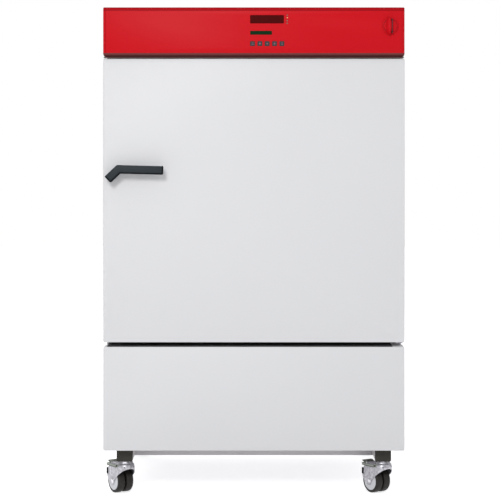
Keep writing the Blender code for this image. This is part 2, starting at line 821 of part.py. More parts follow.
def make_indicator_bar():
    """Light guide with one lens for each indicator lamp, joined behind the fascia."""
    low = FASCIA_FACE + FASCIA_WALL + CLEAR
    strip = box((LAMP_X - 0.004, low, min(LAMP_HEIGHTS) - 0.004),
                (LAMP_X + 0.004, FASCIA_FACE + DISPLAY_DEPTH, max(LAMP_HEIGHTS) + 0.004))
    amber = material("lens", (0.85, 0.45, 0.05), 0.2)
    bar = add_object("indicator_bar", strip, amber)
    lenses = []
    for height in LAMP_HEIGHTS:
        lenses.append(cylinder("y", (LAMP_X, FASCIA_FACE, height), LAMP_RADIUS,
                               -0.0006, FASCIA_WALL + 0.001, 10))
    return unite(bar, merged(lenses))


def make_control_board():
    """Circuit board behind the displays and keys, on four pillars from the fascia."""
    front = FASCIA_FACE + BOARD_DEPTH
    half = LED_SIZE[0] / 2 + 0.030
    low = KEY_Z - 0.020
    high = TOP - LED_PLACE[1] + 0.022
    x = LED_PLACE[0]
    board = add_object("control_board", box((x - half, front, low),
                                            (x + half, front + BOARD_THICK, high)),
                       material("board", (0.03, 0.16, 0.06), 0.5))
    pillars = []
    inner_wall = FASCIA_FACE + FASCIA_WALL + CLEAR
    for side in (-1, 1):
        for height in (low + 0.006, high - 0.006):
            pillars.append(cylinder("y", (x + side * (half - 0.006), 0.0, height), 0.003,
                                    inner_wall, front + BOARD_THICK / 2, 10))
    return unite(board, merged(pillars))


def make_keys():
    """Five keys that press in against the board, each held by a flange behind the fascia."""
    finish = material("key", (0.055, 0.07, 0.085), 0.45)
    for index in range(KEY_COUNT):
        x = KEY_FIRST_X + index * KEY_PITCH
        body = key_block(index, 0.0, FASCIA_FACE - KEY_PROUD, FASCIA_FACE + KEY_DEPTH)
        origin = (x, FASCIA_FACE, KEY_Z)
        key = add_object(f"key_{index + 1}", body, finish, origin)
        behind = FASCIA_FACE + FASCIA_WALL + CLEAR
        unite(key, key_block(index, KEY_FLANGE, behind, behind + 0.0012))


def make_limiter_knob():
    """Temperature limiter knob: a disc with a tall grip bar, turned about Y."""
    front = -CLEAR - KNOB_DISC
    profile = [(0.0, -CLEAR), (KNOB_RADIUS, -CLEAR), (KNOB_RADIUS, front + 0.002),
               (KNOB_RADIUS - 0.002, front), (0.0, front)]
    centre = (KNOB_X, FASCIA_FACE, KNOB_Z)
    knob = add_object("limiter_knob", revolve(profile, "y", centre, 20), red_paint(), centre)
    half_width, half_height = KNOB_GRIP[0] / 2, KNOB_GRIP[1] / 2
    face = FASCIA_FACE + front
    rings = []
    for inset, distance in ((0.0, face + 0.003), (0.0, face - KNOB_GRIP_REACH * 0.7),
                            (0.0025, face - KNOB_GRIP_REACH)):
        outline = rounded(KNOB_X - half_width + inset, KNOB_X + half_width - inset,
                          KNOB_Z - half_height + inset, KNOB_Z + half_height - inset,
                          half_width * 0.9 - inset, 2)
        rings.append((outline, distance))
    spindle = cylinder("y", centre, KNOB_SPINDLE, -0.003, FASCIA_WALL + 0.004, 16)
    return unite(knob, loft(rings, "y"), spindle)


def make_door_shell():
    """Outer leaf of the door, with holes for the hinge pins and the handle's shaft."""
    shell = pan(WIDTH / 2, DOOR_BOTTOM, DOOR_TOP, DOOR_FACE, DOOR_BACK, PANEL_SHEET,
                DOOR_RIM, PANEL_EDGE)
    door = add_object("door_shell", shell, white_paint(), (HINGE_X, HINGE_Y, DOOR_BOTTOM))
    pins = []
    for height in (DOOR_BOTTOM, DOOR_TOP):
        pins.append(cylinder("z", (HINGE_X, HINGE_Y, height), HINGE_PIN_RADIUS + FACET,
                             -0.004, 0.004, 16))
    shaft = cylinder("y", (PIVOT_X, 0.0, HANDLE_PIVOT_Z), SHAFT_RADIUS + FACET / 2,
                     DOOR_FACE - 0.01, DOOR_BACK + 0.01)
    return cut(door, merged(pins), shaft)


def door_panel_outline(border, radius=0.015):
    """Outline on the back of the door, inside its edge by a border."""
    half = WIDTH / 2 - border
    return rounded(-half, half, DOOR_BOTTOM + border, DOOR_TOP - border, radius)


def door_rear_outline(side, above, radius):
    """Outline on the back of the door with its own borders at the sides and above."""
    half = WIDTH / 2 - side
    return rounded(-half, half, DOOR_BOTTOM + above, DOOR_TOP - above, radius, 1)


def make_door_inner_panel():
    """Inner panel of the door: a pressed tray whose middle stands out towards the chamber."""
    sheet = PANEL_SHEET
    border = DOOR_RIM + CLEAR
    field = DOOR_FIELD_BORDER + CLEAR
    top = DOOR_BACK + DOOR_FIELD_RAISE
    rings = [
        (door_panel_outline(field + 0.004 + sheet), top - sheet),
        (door_panel_outline(field + sheet), DOOR_BACK - sheet),
        (door_panel_outline(border), DOOR_BACK - sheet),
        (door_panel_outline(border), DOOR_BACK),
        (door_panel_outline(field), DOOR_BACK),
        (door_panel_outline(field + 0.004), top),
    ]
    return add_object("door_inner_panel", loft(rings, "y"), stainless(),
                      (HINGE_X, HINGE_Y, DOOR_BOTTOM))


def make_door_gasket():
    """Magnetic gasket: a ring of bellows section that closes the gap to the front frame."""
    near = DOOR_BACK + CLEAR
    far = FRAME_FACE - CLEAR
    outer = DOOR_RIM + GASKET_INSET
    inner = outer + GASKET_WIDTH

    def ring(border):
        return door_rear_outline(border, border - DOOR_RIM, GASKET_CORNER)

    rings = [
        (ring(outer + 0.002), near),
        (ring(outer + 0.002), near + 0.003),
        (ring(outer), near + 0.005),
        (ring(outer), far),
        (ring(inner), far),
        (ring(inner), near + 0.005),
        (ring(inner - 0.002), near + 0.003),
        (ring(inner - 0.002), near),
    ]
    return add_object("door_gasket", loft(rings, "y", closed=True), rubber(),
                      (HINGE_X, HINGE_Y, DOOR_BOTTOM))


def make_door_handle():
    """Bent lever with its boss and the shaft that runs through the door."""
    pivot = Vector((PIVOT_X, HANDLE_PIVOT_Z))
    elbow = pivot + Vector(HANDLE_ELBOW)
    grip = pivot + Vector(HANDLE_GRIP)
    tail = pivot - (elbow - pivot).normalized() * HANDLE_TAIL
    front = DOOR_FACE - HANDLE_REACH
    outline = bar_outline([tail, elbow, grip], HANDLE_WIDTH)
    lever = prism(outline, "y", front, front + HANDLE_THICK)
    bevelled(lever, HANDLE_EDGE, 2, lambda edge: True)
    centre = (PIVOT_X, 0.0, HANDLE_PIVOT_Z)
    handle = add_object("door_handle", lever, handle_plastic(),
                        (PIVOT_X, DOOR_FACE, HANDLE_PIVOT_Z))
    boss = cylinder("y", centre, BOSS_RADIUS, front + HANDLE_THICK - 0.004, DOOR_FACE - CLEAR, 20)
    shaft = cylinder("y", centre, SHAFT_RADIUS, DOOR_FACE - 0.004, finger_back() + 0.001, 16)
    return unite(handle, boss, shaft)


def finger_front():
    return DOOR_BACK + 0.0012


def finger_back():
    return finger_front() + FINGER_THICK


def make_latch_finger():
    """Latch finger clamped on the handle's shaft, in the gap behind the door."""
    collar = arc((PIVOT_X, HANDLE_PIVOT_Z), FINGER_COLLAR, math.radians(-50), math.radians(230), 14)
    tip_centre = (PIVOT_X, HANDLE_PIVOT_Z - FINGER_LENGTH)
    tip = arc(tip_centre, FINGER_RADIUS, math.radians(180), math.radians(360), 6)
    finger = add_object("latch_finger", prism(collar + tip, "y", finger_front(), finger_back()),
                        zinc(), (PIVOT_X, DOOR_FACE, HANDLE_PIVOT_Z))
    return cut(finger, cylinder("y", (PIVOT_X, 0.0, HANDLE_PIVOT_Z), SHAFT_RADIUS + CLEAR,
                                DOOR_BACK, FRAME_FACE))


def make_latch_keeper():
    """Keeper on the front frame: an angled plate whose lip stands under the latch finger."""
    lip_top = HANDLE_PIVOT_Z - FINGER_LENGTH - FINGER_RADIUS - 0.0008
    back = FRAME_FACE - CLEAR
    outline = [
        (back, lip_top - 0.030),
        (back, lip_top),
        (finger_front(), lip_top),
        (finger_front(), lip_top - 0.0025),
        (back - 0.0025, lip_top - 0.0025),
        (back - 0.0025, lip_top - 0.030),
    ]
    plate = prism(outline, "x", PIVOT_X - 0.009, PIVOT_X + 0.009)
    return add_object("latch_keeper", plate, zinc())


def hinge_leaf(low, high):
    """Flat hinge leaf round the pin's axis, fastened to the front frame behind it."""
    half = HINGE_LEAF_WIDTH / 2
    front = arc((HINGE_X, HINGE_Y), half, math.pi, 2 * math.pi, 8)
    outline = front + [(HINGE_X + half, FRAME_FACE - CLEAR), (HINGE_X - half, FRAME_FACE - CLEAR)]
    return prism(outline, "z", low, high)


def make_hinges():
    """Top and bottom hinge leaves, each with a pin that carries the door."""
    inside = PANEL_SHEET + HINGE_PIN_LENGTH
    place = (HINGE_X, HINGE_Y, 0.0)
    low = DOOR_TOP + 2 * CLEAR
    top = add_object("hinge_top", hinge_leaf(low, low + HINGE_LEAF), zinc())
    unite(top, cylinder("z", place, HINGE_PIN_RADIUS, DOOR_TOP - inside, low + 0.001, 16))
    high = DOOR_BOTTOM - CLEAR
    bottom = add_object("hinge_bottom", hinge_leaf(high - HINGE_LEAF, high), zinc())
    half = HINGE_LEAF_WIDTH / 2
    flange = box((HINGE_X - half, FRAME_FACE - CLEAR - HINGE_LEAF, PANEL_TOP + 0.002),
                 (HINGE_X + half, FRAME_FACE - CLEAR, high - 0.001))
    pin = cylinder("z", place, HINGE_PIN_RADIUS, high - 0.001, DOOR_BOTTOM + inside, 16)
    unite(bottom, flange, pin)


def glass_outline(inset, radius):
    """Outline of the inner glass door, moved inwards."""
    low = CHAMBER_BOTTOM - REBATE + GLASS_EDGE_GAP + inset
    high = CHAMBER_TOP + REBATE - GLASS_EDGE_GAP - inset
    half = GLASS_HALF - inset
    return rounded(-half, half, low, high, radius)


def make_glass_door():
    """Inner glass door: a pane set in a stainless frame with hinge pins and a pull."""
    lip = GLASS_STILE + GLASS_LIP
    seat = GLASS_FRONT + GLASS_THICK + CLEAR
    rings = [
        (glass_outline(0.0, GLASS_CORNER), GLASS_FRONT),
        (glass_outline(0.0, GLASS_CORNER), GLASS_REAR),
        (glass_outline(lip, 0.008), GLASS_REAR),
        (glass_outline(lip, 0.008), seat),
        (glass_outline(GLASS_STILE, 0.012), seat),
        (glass_outline(GLASS_STILE, 0.012), GLASS_FRONT),
    ]
    origin = (GLASS_HINGE_X, GLASS_HINGE_Y, CHAMBER_BOTTOM)
    frame = add_object("glass_door_frame", loft(rings, "y", closed=True), stainless(), origin)
    low = CHAMBER_BOTTOM - REBATE + GLASS_EDGE_GAP
    high = CHAMBER_TOP + REBATE - GLASS_EDGE_GAP
    place = (GLASS_HINGE_X, GLASS_HINGE_Y, 0.0)
    reach = GLASS_EDGE_GAP + GLASS_PIN_LENGTH
    pins = [
        cylinder("z", place, GLASS_PIN_RADIUS, high - 0.004, high + reach, 12),
        cylinder("z", place, GLASS_PIN_RADIUS, low - reach, low + 0.004, 12),
    ]
    pull = cylinder("y", (-GLASS_HALF + GLASS_STILE / 2, GLASS_FRONT, (low + high) / 2),
                    GLASS_PULL_RADIUS, -GLASS_PULL_REACH, 0.003, 20)
    unite(frame, merged(pins), pull)
    pane = prism(glass_outline(GLASS_STILE + CLEAR, 0.0117), "y", GLASS_FRONT,
                 GLASS_FRONT + GLASS_THICK)
    add_object("glass_pane", pane, glass(), origin)


def make_rack(name, level):
    """Rack of flat bars: a border, wires from front to back and cross wires."""
    half = CHAMBER_WIDTH / 2 - 0.003
    back = BAFFLE_FACE - CLEAR
    front = back - RACK_DEPTH
    low = rib_height(level) + RIB_HEIGHT / 2 + CLEAR
    columns = [-half, -half + RACK_BORDER]
    slot = (2 * half - 2 * RACK_BORDER - (RACK_SLOTS - 1) * RACK_WIRE) / RACK_SLOTS
    for index in range(1, RACK_SLOTS):
        edge = -half + RACK_BORDER + index * (slot + RACK_WIRE)
        columns += [edge - RACK_WIRE, edge]
    columns += [half - RACK_BORDER, half]
    rows = [front, front + RACK_BORDER]
    length = (RACK_DEPTH - 2 * RACK_BORDER - (RACK_ROWS - 1) * RACK_WIRE) / RACK_ROWS
    for index in range(1, RACK_ROWS):
        edge = front + RACK_BORDER + index * (length + RACK_WIRE)
        rows += [edge - RACK_WIRE, edge]
    rows += [back - RACK_BORDER, back]
    mesh = bmesh.new()
    grid = [[mesh.verts.new((x, y, low)) for y in rows] for x in columns]
    for i in range(len(columns) - 1):
        for j in range(len(rows) - 1):
            if i % 2 == 1 and j % 2 == 1:
                continue
            mesh.faces.new((grid[i][j], grid[i + 1][j], grid[i + 1][j + 1], grid[i][j + 1]))
    raised = bmesh.ops.extrude_face_region(mesh, geom=mesh.faces[:])["geom"]
    tops = [part for part in raised if isinstance(part, bmesh.types.BMVert)]
    bmesh.ops.translate(mesh, vec=(0.0, 0.0, RACK_THICK), verts=tops)
    return add_object(name, mesh, stainless(), (0.0, back, low))


def make_air_baffle():
    """Plate in front of the evaporator, with a fan inlet and side outlets."""
    outline = chamber_outline(-CLEAR)
    baffle = add_object("air_baffle", prism(outline, "y", BAFFLE_FACE, BAFFLE_FACE + BAFFLE_SHEET),
                        stainless())
    openings = []
    for centre in circle((0.0, FAN_Z), FAN_RADIUS * 0.6, 8):
        openings.append(cylinder("y", (centre[0], BAFFLE_FACE, centre[1]), 0.010,
                                 -0.005, 0.005, 8))
    slots = 4
    pitch = CHAMBER_HEIGHT / (slots + 1)
    for side in (-1, 1):
        for index in range(slots):
            middle = CHAMBER_BOTTOM + pitch * (index + 1)
            x = side * (CHAMBER_WIDTH / 2 - 0.040)
            openings.append(box((x - 0.015, BAFFLE_FACE - 0.005, middle - 0.004),
                                (x + 0.015, BAFFLE_FACE + 0.005, middle + 0.004)))
    return cut(baffle, merged(openings))


def make_chamber_fan():
    """Radial fan wheel behind the baffle, on the shaft that runs back to its motor."""
    front = BAFFLE_FACE + BAFFLE_SHEET + 0.008
    plate = front + 0.020
    centre = (0.0, 0.0, FAN_Z)
    end = FOAM_BACK + FAN_MOTOR_LENGTH / 3
    disc = cylinder("y", centre, FAN_RADIUS, plate, plate + 0.002, 20)
    fan = add_object("chamber_fan", disc, aluminium(), (0.0, plate, FAN_Z))
    shaft = cylinder("y", centre, FAN_SHAFT_RADIUS, front + 0.004, end, 12)
    hub = cylinder("y", centre, 0.012, front + 0.006, plate + 0.001, 14)
    blades = []
    for index in range(FAN_BLADES):
        blade = box((0.030, front, -0.001), (FAN_RADIUS - 0.002, plate + 0.001, 0.001))
        turn = Matrix.Rotation(2 * math.pi * index / FAN_BLADES, 4, "Y")
        bmesh.ops.transform(blade, matrix=Matrix.Translation(centre) @ turn, verts=blade.verts)
        blades.append(blade)
    return unite(fan, hub, shaft, merged(blades))


def make_chamber_fan_motor():
    """Motor behind the foam, bored for the fan's shaft."""
    front = FOAM_BACK + CLEAR
    back = front + FAN_MOTOR_LENGTH
    bore = FAN_SHAFT_RADIUS + FACET
    flange = FAN_MOTOR_RADIUS + 0.008
    floor = front + FAN_MOTOR_LENGTH / 2
    profile = [
        (bore, front), (flange, front), (flange, front + 0.003), (FAN_MOTOR_RADIUS, front + 0.003),
        (FAN_MOTOR_RADIUS, back - 0.005), (FAN_MOTOR_RADIUS - 0.008, back), (0.0, back),
        (0.0, floor), (bore, floor),
    ]
    motor = revolve(profile, "y", (0.0, 0.0, FAN_Z), 16)
    return add_object("chamber_fan_motor", motor, grey_paint())


def make_evaporator():
    """Finned cooling coil on the chamber's rear wall, behind the baffle."""
    width, depth, height = EVAPORATOR_SIZE
    back = LINER_BACK - CLEAR
    low = CHAMBER_BOTTOM + EVAPORATOR_LIFT
    outline = comb((-width / 2, back - depth), (width / 2, back), EVAPORATOR_FINS, 0.012, 0.35)
    return add_object("evaporator", prism(outline, "z", low, low + height), aluminium())


def make_port():
    """Access port: a flanged tube through the left wall, with a silicone plug."""
    outside = -HOUSING_WIDTH / 2
    inside = -CHAMBER_WIDTH / 2
    centre = (0.0, PORT_Y, PORT_Z)
    flange = outside - CLEAR
    profile = [(PORT_RADIUS, flange - PORT_FLANGE), (PORT_FLANGE_RADIUS, flange - PORT_FLANGE),
               (PORT_FLANGE_RADIUS, flange), (port_outer(), flange), (port_outer(), inside),
               (PORT_RADIUS, inside)]
    add_object("port_tube", revolve(profile, "x", centre, PORT_SIDES), stainless())
    head = flange - PORT_FLANGE - CLEAR
    radius = PORT_RADIUS - FACET / 2
    profile = [(0.0, head - PLUG_HEAD), (PLUG_HEAD_RADIUS, head - PLUG_HEAD),
               (PLUG_HEAD_RADIUS, head), (radius, head), (radius - 0.001, head + PLUG_LENGTH),
               (0.0, head + PLUG_LENGTH)]
    add_object("port_plug", revolve(profile, "x", centre, PORT_SIDES), silicone(),
               (head, PORT_Y, PORT_Z))


def make_base_pan():
    """Tray that closes the cabinet below and carries the refrigeration set."""
    half = FOAM_HALF
    front = FRAME_FACE + CLEAR
    back = HOUSING_BACK - CLEAR

    def outline(inset):
        return rounded(-half + inset, half - inset, front + inset, back - inset, 0.004)

    high = PAN_Z + PAN_FLANGE
    rings = [(outline(PANEL_SHEET), FLOOR_Z), (outline(PANEL_SHEET), high), (outline(0.0), high),
             (outline(0.0), PAN_Z)]
    return add_object("base_pan", loft(rings, "z"), zinc())


def make_compressor():
    """Hermetic compressor: a domed pot on a foot plate with four rubber-height feet."""
    x, y = COMPRESSOR_X, COMPRESSOR_Y
    radius = COMPRESSOR_RADIUS
    low = FLOOR_Z + CLEAR + COMPRESSOR_FEET
    high = low + COMPRESSOR_HEIGHT
    rise = radius * 0.55
    profile = [(0.0, low)]
    profile += [(radius * 0.75, low), (radius, low + 0.030), (radius, low + 0.080)]
    profile += [(radius + 0.004, low + 0.082), (radius + 0.004, low + 0.088)]
    for point in arc((0.0, 0.0), 1.0, 0.0, math.pi / 2, 4):
        profile.append((radius * point[0], high - rise + rise * point[1]))
    profile[-1] = (0.0, high)
    pot = add_object("compressor", revolve(profile, "z", (x, y, 0.0), 14), black_plastic())
    plate = box((x - radius - 0.015, y - radius * 0.8, low + 0.004),
                (x + radius + 0.015, y + radius * 0.8, low + 0.007))
    feet = []
    for side in (-1, 1):
        for end in (-1, 1):
            place = (x + side * radius, y + end * (radius * 0.8 - 0.014), 0.0)
            feet.append(cylinder("z", place, 0.011, FLOOR_Z + CLEAR, low + 0.005, 8))
    return unite(pot, plate, merged(feet))


def cooler_centre():
    """Centre of the condenser's fan."""
    depth, height = CONDENSER_SIZE[1:]
    back = HOUSING_BACK - CONDENSER_BEHIND
    return (CONDENSER_X, back - depth, FLOOR_Z + CLEAR + height / 2)


def make_condenser():
    """Finned condenser with a fan shroud and the fan motor on three arms."""
    width, depth, height = CONDENSER_SIZE
    x, face, middle = cooler_centre()
    low = FLOOR_Z + CLEAR
    back = face + depth
    outline = comb((x - width / 2, face), (x + width / 2, back), CONDENSER_FINS, 0.012, 0.35)
    outline = [(a, face + back - b) for a, b in outline]
    condenser = add_object("condenser", prism(outline, "z", low, low + height), aluminium())
    plate = box((x - width / 2, face - SHROUD_SHEET, low), (x + width / 2, face + 0.001,
                                                             low + height))
    ring_radius = COOLER_FAN_RADIUS + 0.004
    ring = revolve([(ring_radius, face - SHROUD_DEPTH), (ring_radius + 0.002, face - SHROUD_DEPTH),
                    (ring_radius + 0.002, face - 0.0005), (ring_radius, face - 0.0005)],
                   "y", (x, 0.0, middle), 16)
    unite(condenser, plate, ring)
    cut(condenser, cylinder("y", (x, face, middle), COOLER_FAN_RADIUS, -0.010, 0.003, 16))
    front = face - SHROUD_DEPTH
    arms = []
    for index in range(3):
        arm = box((0.010, front, -0.004), (ring_radius + 0.001, front + 0.002, 0.004))
        turn = Matrix.Rotation(math.radians(90) + 2 * math.pi * index / 3, 4, "Y")
        place = Matrix.Translation((x, 0.0, middle))
        bmesh.ops.transform(arm, matrix=place @ turn, verts=arm.verts)
        arms.append(arm)
    motor = cylinder("y", (x, 0.0, middle), COOLER_MOTOR_RADIUS, front - 0.018, front + 0.0025, 18)
    return unite(condenser, motor, *arms)


def make_condenser_fan():
    """Axial fan in the condenser's shroud, turning about Y."""
    x, face, middle = cooler_centre()
    front = face - SHROUD_DEPTH + 0.0025 + CLEAR
    back = face - SHROUD_SHEET - 0.003
    centre = (x, 0.0, middle)
    fan = add_object("condenser_fan", cylinder("y", centre, 0.020, front, back, 18),
                     black_plastic(), (x, front, middle))
    for index in range(COOLER_FAN_BLADES):
        blade = box((0.016, -0.001, -0.024), (COOLER_FAN_RADIUS - 0.004, 0.001, 0.024))
        tilt = Matrix.Rotation(math.radians(22), 4, "X")
        turn = Matrix.Rotation(2 * math.pi * index / COOLER_FAN_BLADES, 4, "Y")
        place = Matrix.Translation((x, (front + back) / 2, middle))
        bmesh.ops.transform(blade, matrix=place @ turn @ tilt, verts=blade.verts)
        unite(fan, blade)
    return fan


def rail_outline(x, inset):
    half = RAIL_WIDTH / 2 - inset
    return rounded(x - half, x + half, CASTOR_HEIGHT + inset, RAIL_TOP - inset,
                   max(0.0045 - inset, 0.0015), 2)


def make_base_frame():
    """Welded frame of two tube rails and two cross bars."""
    front = DOOR_FACE + RAIL_FRONT_SETBACK + CAP_THICK + CLEAR
    back = BACK - RAIL_BACK_SETBACK
    tubes = []
    for x in (-RAIL_X, RAIL_X):
        rings = [(rail_outline(x, 0.0), front), (rail_outline(x, 0.0), back),
                 (rail_outline(x, RAIL_WALL), back), (rail_outline(x, RAIL_WALL), front)]
        tubes.append(loft(rings, "y", closed=True))
    inner = RAIL_X - RAIL_WIDTH / 2 + RAIL_WALL / 2
    start = DOOR_FACE + CROSSBAR_SETBACK
    end = BACK - CASTOR_BACK_SETBACK - 0.060
    frame = add_object("base_frame", tubes[0], grey_paint())
    bars = []
    for y in (start, end):
        bars.append(box((-inner, y, CASTOR_HEIGHT + FACET), (inner, y + CROSSBAR_DEPTH,
                                                             RAIL_TOP - FACET)))
    unite(frame, merged(bars), tubes[1])
    holes = []
    for x in (-RAIL_X, RAIL_X):
        for y in castor_rows():
            holes.append(cylinder("z", (x, y, CASTOR_HEIGHT), KING_PIN_RADIUS + FACET / 2,
                                  -0.005, RAIL_WALL + 0.002, 12))
    return cut(frame, merged(holes))


def castor_rows():
    """Y of the front and of the rear king pins."""
    return (DOOR_FACE + CASTOR_FRONT_SETBACK, BACK - CASTOR_BACK_SETBACK)


def make_rail_caps():
    """Black end caps pushed into the front ends of the rails."""
    front = DOOR_FACE + RAIL_FRONT_SETBACK
    for name, x in (("rail_cap_left", -RAIL_X), ("rail_cap_right", RAIL_X)):
        outer = rail_outline(x, 0.0)
        small = rail_outline(x, 0.0012)
        plug = rail_outline(x, RAIL_WALL + CLEAR)
        rings = [(small, front), (outer, front + 0.0012), (outer, front + CAP_THICK),
                 (plug, front + CAP_THICK), (plug, front + CAP_THICK + CAP_PLUG / 3)]
        add_object(name, loft(rings, "y"), black_plastic())


def make_castor_stem(name, x, y):
    """King pin: rivet head, shank, bearing race and the stud that is bolted into the rail."""
    top = FORK_TOP
    under = top - FORK_SHEET
    seat = CASTOR_HEIGHT - CLEAR
    inside = CASTOR_HEIGHT + RAIL_WALL + CLEAR
    profile = [
        (0.0, under - 0.0035), (0.010, under - 0.0035), (0.010, under - CLEAR),
        (KING_PIN_RADIUS, under - CLEAR), (KING_PIN_RADIUS, top + CLEAR),
        (RACE_RADIUS, top + CLEAR), (RACE_RADIUS - 0.002, seat), (KING_PIN_RADIUS, seat),
        (KING_PIN_RADIUS, inside), (STEM_NUT_RADIUS, inside), (STEM_NUT_RADIUS, inside + 0.008),
        (0.0, inside + 0.008),
    ]
    return add_object(name, revolve(profile, "z", (x, y, 0.0), 10), zinc())


def hood_outline():
    """Side view of the castor's hood in (u, z)."""
    front = -FORK_FRONT
    points = [(front, ARCH_TOP + 0.004), (front, FORK_TOP - 0.004), (front + 0.004, FORK_TOP)]
    start = math.asin((FORK_TOP - HOOD_CENTRE[1]) / HOOD_RADIUS)
    points += arc(HOOD_CENTRE, HOOD_RADIUS, start, math.radians(-15), 7)
    points += arc((TRAIL, WHEEL_RADIUS), HUB_BOSS, math.radians(-20), math.radians(-160), 5)
    points += [(-0.008, 0.070)]
    return points


def arch(half, top, shoulder):
    """Arch seen along the rolling direction, in (w, z), reaching below the castor."""
    points = [(-half, -0.01)]
    points += arc((-half + shoulder, top - shoulder), shoulder, math.pi, math.pi / 2, 3)
    points += arc((half - shoulder, top - shoulder), shoulder, math.pi / 2, 0.0, 3)
    points += [(half, -0.01)]
    return points


def make_fork(name, parent, with_ears):
    """Pressed hood fork: shell, arched openings for the wheels, riveted axle and pedal ears."""
    half = WHEEL_SPACE / 2 + WHEEL_WIDTH + FACET
    outer = half + FORK_SHEET
    shell = prism(hood_outline(), "y", -outer, outer)

    def long_edge(edge):
        ends = [vert.co for vert in edge.verts]
        flat_edge = abs(abs(ends[0].y) - outer) < 1e-6 and abs(ends[0].y - ends[1].y) < 1e-6
        return flat_edge and min(ends[0].z, ends[1].z) > FORK_TOP * 0.45

    bevelled(shell, FORK_SHOULDER, 2, long_edge)
    fork = add_object(name, shell, zinc(), parent=parent)
    cut(fork, prism(hollow_outline(), "y", -half, half))
    front_arch = prism(arch(half, ARCH_TOP, 0.012), "x", -FORK_FRONT - 0.01, -FORK_FRONT + 0.012)
    rear_arch = prism(arch(half, REAR_ARCH_TOP, 0.006), "x", TRAIL + 0.010, TRAIL + 0.060)
    cut(fork, front_arch, rear_arch)
    if with_ears:
        unite(fork, *pedal_ears())
    axle = revolve([(0.0, -outer - 0.0015), (AXLE_HEAD - 0.001, -outer - 0.0015),
                    (AXLE_HEAD, -outer - 0.0005), (AXLE_HEAD, -outer + 0.001),
                    (AXLE_RADIUS, -outer + 0.001), (AXLE_RADIUS, outer - 0.001),
                    (AXLE_HEAD, outer - 0.001), (AXLE_HEAD, outer + 0.0005),
                    (AXLE_HEAD - 0.001, outer + 0.0015), (0.0, outer + 0.0015)],
                   "y", (TRAIL, 0.0, WHEEL_RADIUS), 8)
    unite(fork, axle)
    return cut(fork, cylinder("z", (0.0, 0.0, FORK_TOP), KING_PIN_RADIUS + FACET / 2,
                              -0.008, 0.008, 10))


def hollow_outline():
    """Side view in (u, z) of the space that the wheels turn in, open below."""
    top = FORK_TOP - FORK_SHEET
    front = -FORK_FRONT + FORK_SHEET
    inner = HOOD_RADIUS - FORK_SHEET
    start = math.asin(min(1.0, (top - HOOD_CENTRE[1]) / inner))
    points = [(front, -0.01), (front, top - 0.003), (front + 0.003, top)]
    points += arc(HOOD_CENTRE, inner, start, 0.0, 6)
    return points + [(HOOD_CENTRE[0] + inner, -0.01)]


def pedal_pivot():
    """Pivot of the brake pedal in (u, z), just off the hood's rounded back."""
    distance = HOOD_RADIUS + PEDAL_BOSS + CLEAR
    return (HOOD_CENTRE[0] + distance * math.cos(PEDAL_ANGLE),
            HOOD_CENTRE[1] + distance * math.sin(PEDAL_ANGLE))


def pedal_ears():
    """Two ears on the hood that hold the pedal's pivot between them."""
    u, z = pedal_pivot()
    tip = arc((u, z), PEDAL_BOSS, PEDAL_ANGLE - math.pi / 2, PEDAL_ANGLE + math.pi / 2, 6)
    reach = HOOD_RADIUS - 0.0015
    foot = []
    for angle in (PEDAL_ANGLE + 0.16, PEDAL_ANGLE - 0.16):
        foot.append((HOOD_CENTRE[0] + reach * math.cos(angle),
                     HOOD_CENTRE[1] + reach * math.sin(angle)))
    start = PEDAL_HALF + CLEAR
    outline = tip + foot
    return [prism(outline, "y", start, start + PEDAL_EAR),
            prism(outline, "y", -start - PEDAL_EAR, -start)]


def make_pedal(name, parent):
    """Brake pedal: a rocker with an upper and a lower lip, pivoted between the fork's ears."""
    u, z = pedal_pivot()
    tip = u + PEDAL_REACH
    outline = arc((u, z), PEDAL_BOSS, math.radians(100), math.radians(290), 9)
    outline += [
        (u + 0.010, z - 0.0052), (tip - 0.001, z - 0.0022), (tip, z - 0.0004),
        (u + 0.013, z - 0.0010), (u + 0.009, z + 0.0012), (u + 0.013, z + 0.0030),
        (tip - 0.003, z + 0.0058), (tip - 0.003, z + 0.0078), (u + 0.014, z + 0.0072),
    ]
    body = prism(outline, "y", -PEDAL_HALF, PEDAL_HALF)
    return add_object(name, body, grey_plastic(), (u, 0.0, z), parent)


def grey_plastic():
    return material("grey_plastic", (0.16, 0.17, 0.16), 0.5)


def make_wheel(name, side, parent):
    """One wheel of the pair: rounded tread, a hub recess on its outer face and a bore."""
    near = WHEEL_SPACE / 2
    far = near + WHEEL_WIDTH
    bore = AXLE_RADIUS + FACET / 2
    edge = WHEEL_EDGE
    profile = [
        (bore, near), (WHEEL_RADIUS - edge, near), (WHEEL_RADIUS, near + edge),
        (WHEEL_RADIUS, far - edge), (WHEEL_RADIUS - edge, far), (HUB_RECESS, far),
        (HUB_RECESS, far - HUB_RECESS_DEPTH), (bore, far - HUB_RECESS_DEPTH),
    ]
    turned = [(radius, side * distance) for radius, distance in profile]
    centre = (TRAIL, 0.0, WHEEL_RADIUS)
    return add_object(name, revolve(turned, "y", centre, 20), rubber(), centre, parent)


def make_castor(corner, x, y, braked):
    """Twin-wheel swivel castor: stem, hood fork, two wheels and, in front, a brake pedal."""
    make_castor_stem(f"castor_{corner}_stem", x, y)
    swivel = add_empty(f"castor_{corner}_swivel", (x, y, 0.0), math.pi / 2 + CASTOR_TURN)
    make_fork(f"castor_{corner}_fork", swivel, braked)
    make_wheel(f"castor_{corner}_wheel_a", 1, swivel)
    make_wheel(f"castor_{corner}_wheel_b", -1, swivel)
    if braked:
        make_pedal(f"castor_{corner}_pedal", swivel)


def make_castors():
    front, rear = castor_rows()
    for corner, x, y, braked in (("fl", -RAIL_X, front, True), ("fr", RAIL_X, front, True),
                                 ("rl", -RAIL_X, rear, False), ("rr", RAIL_X, rear, False)):
        make_castor(corner, x, y, braked)


def clear_scene():
    for existing in list(bpy.data.objects):
        bpy.data.objects.remove(existing, do_unlink=True)


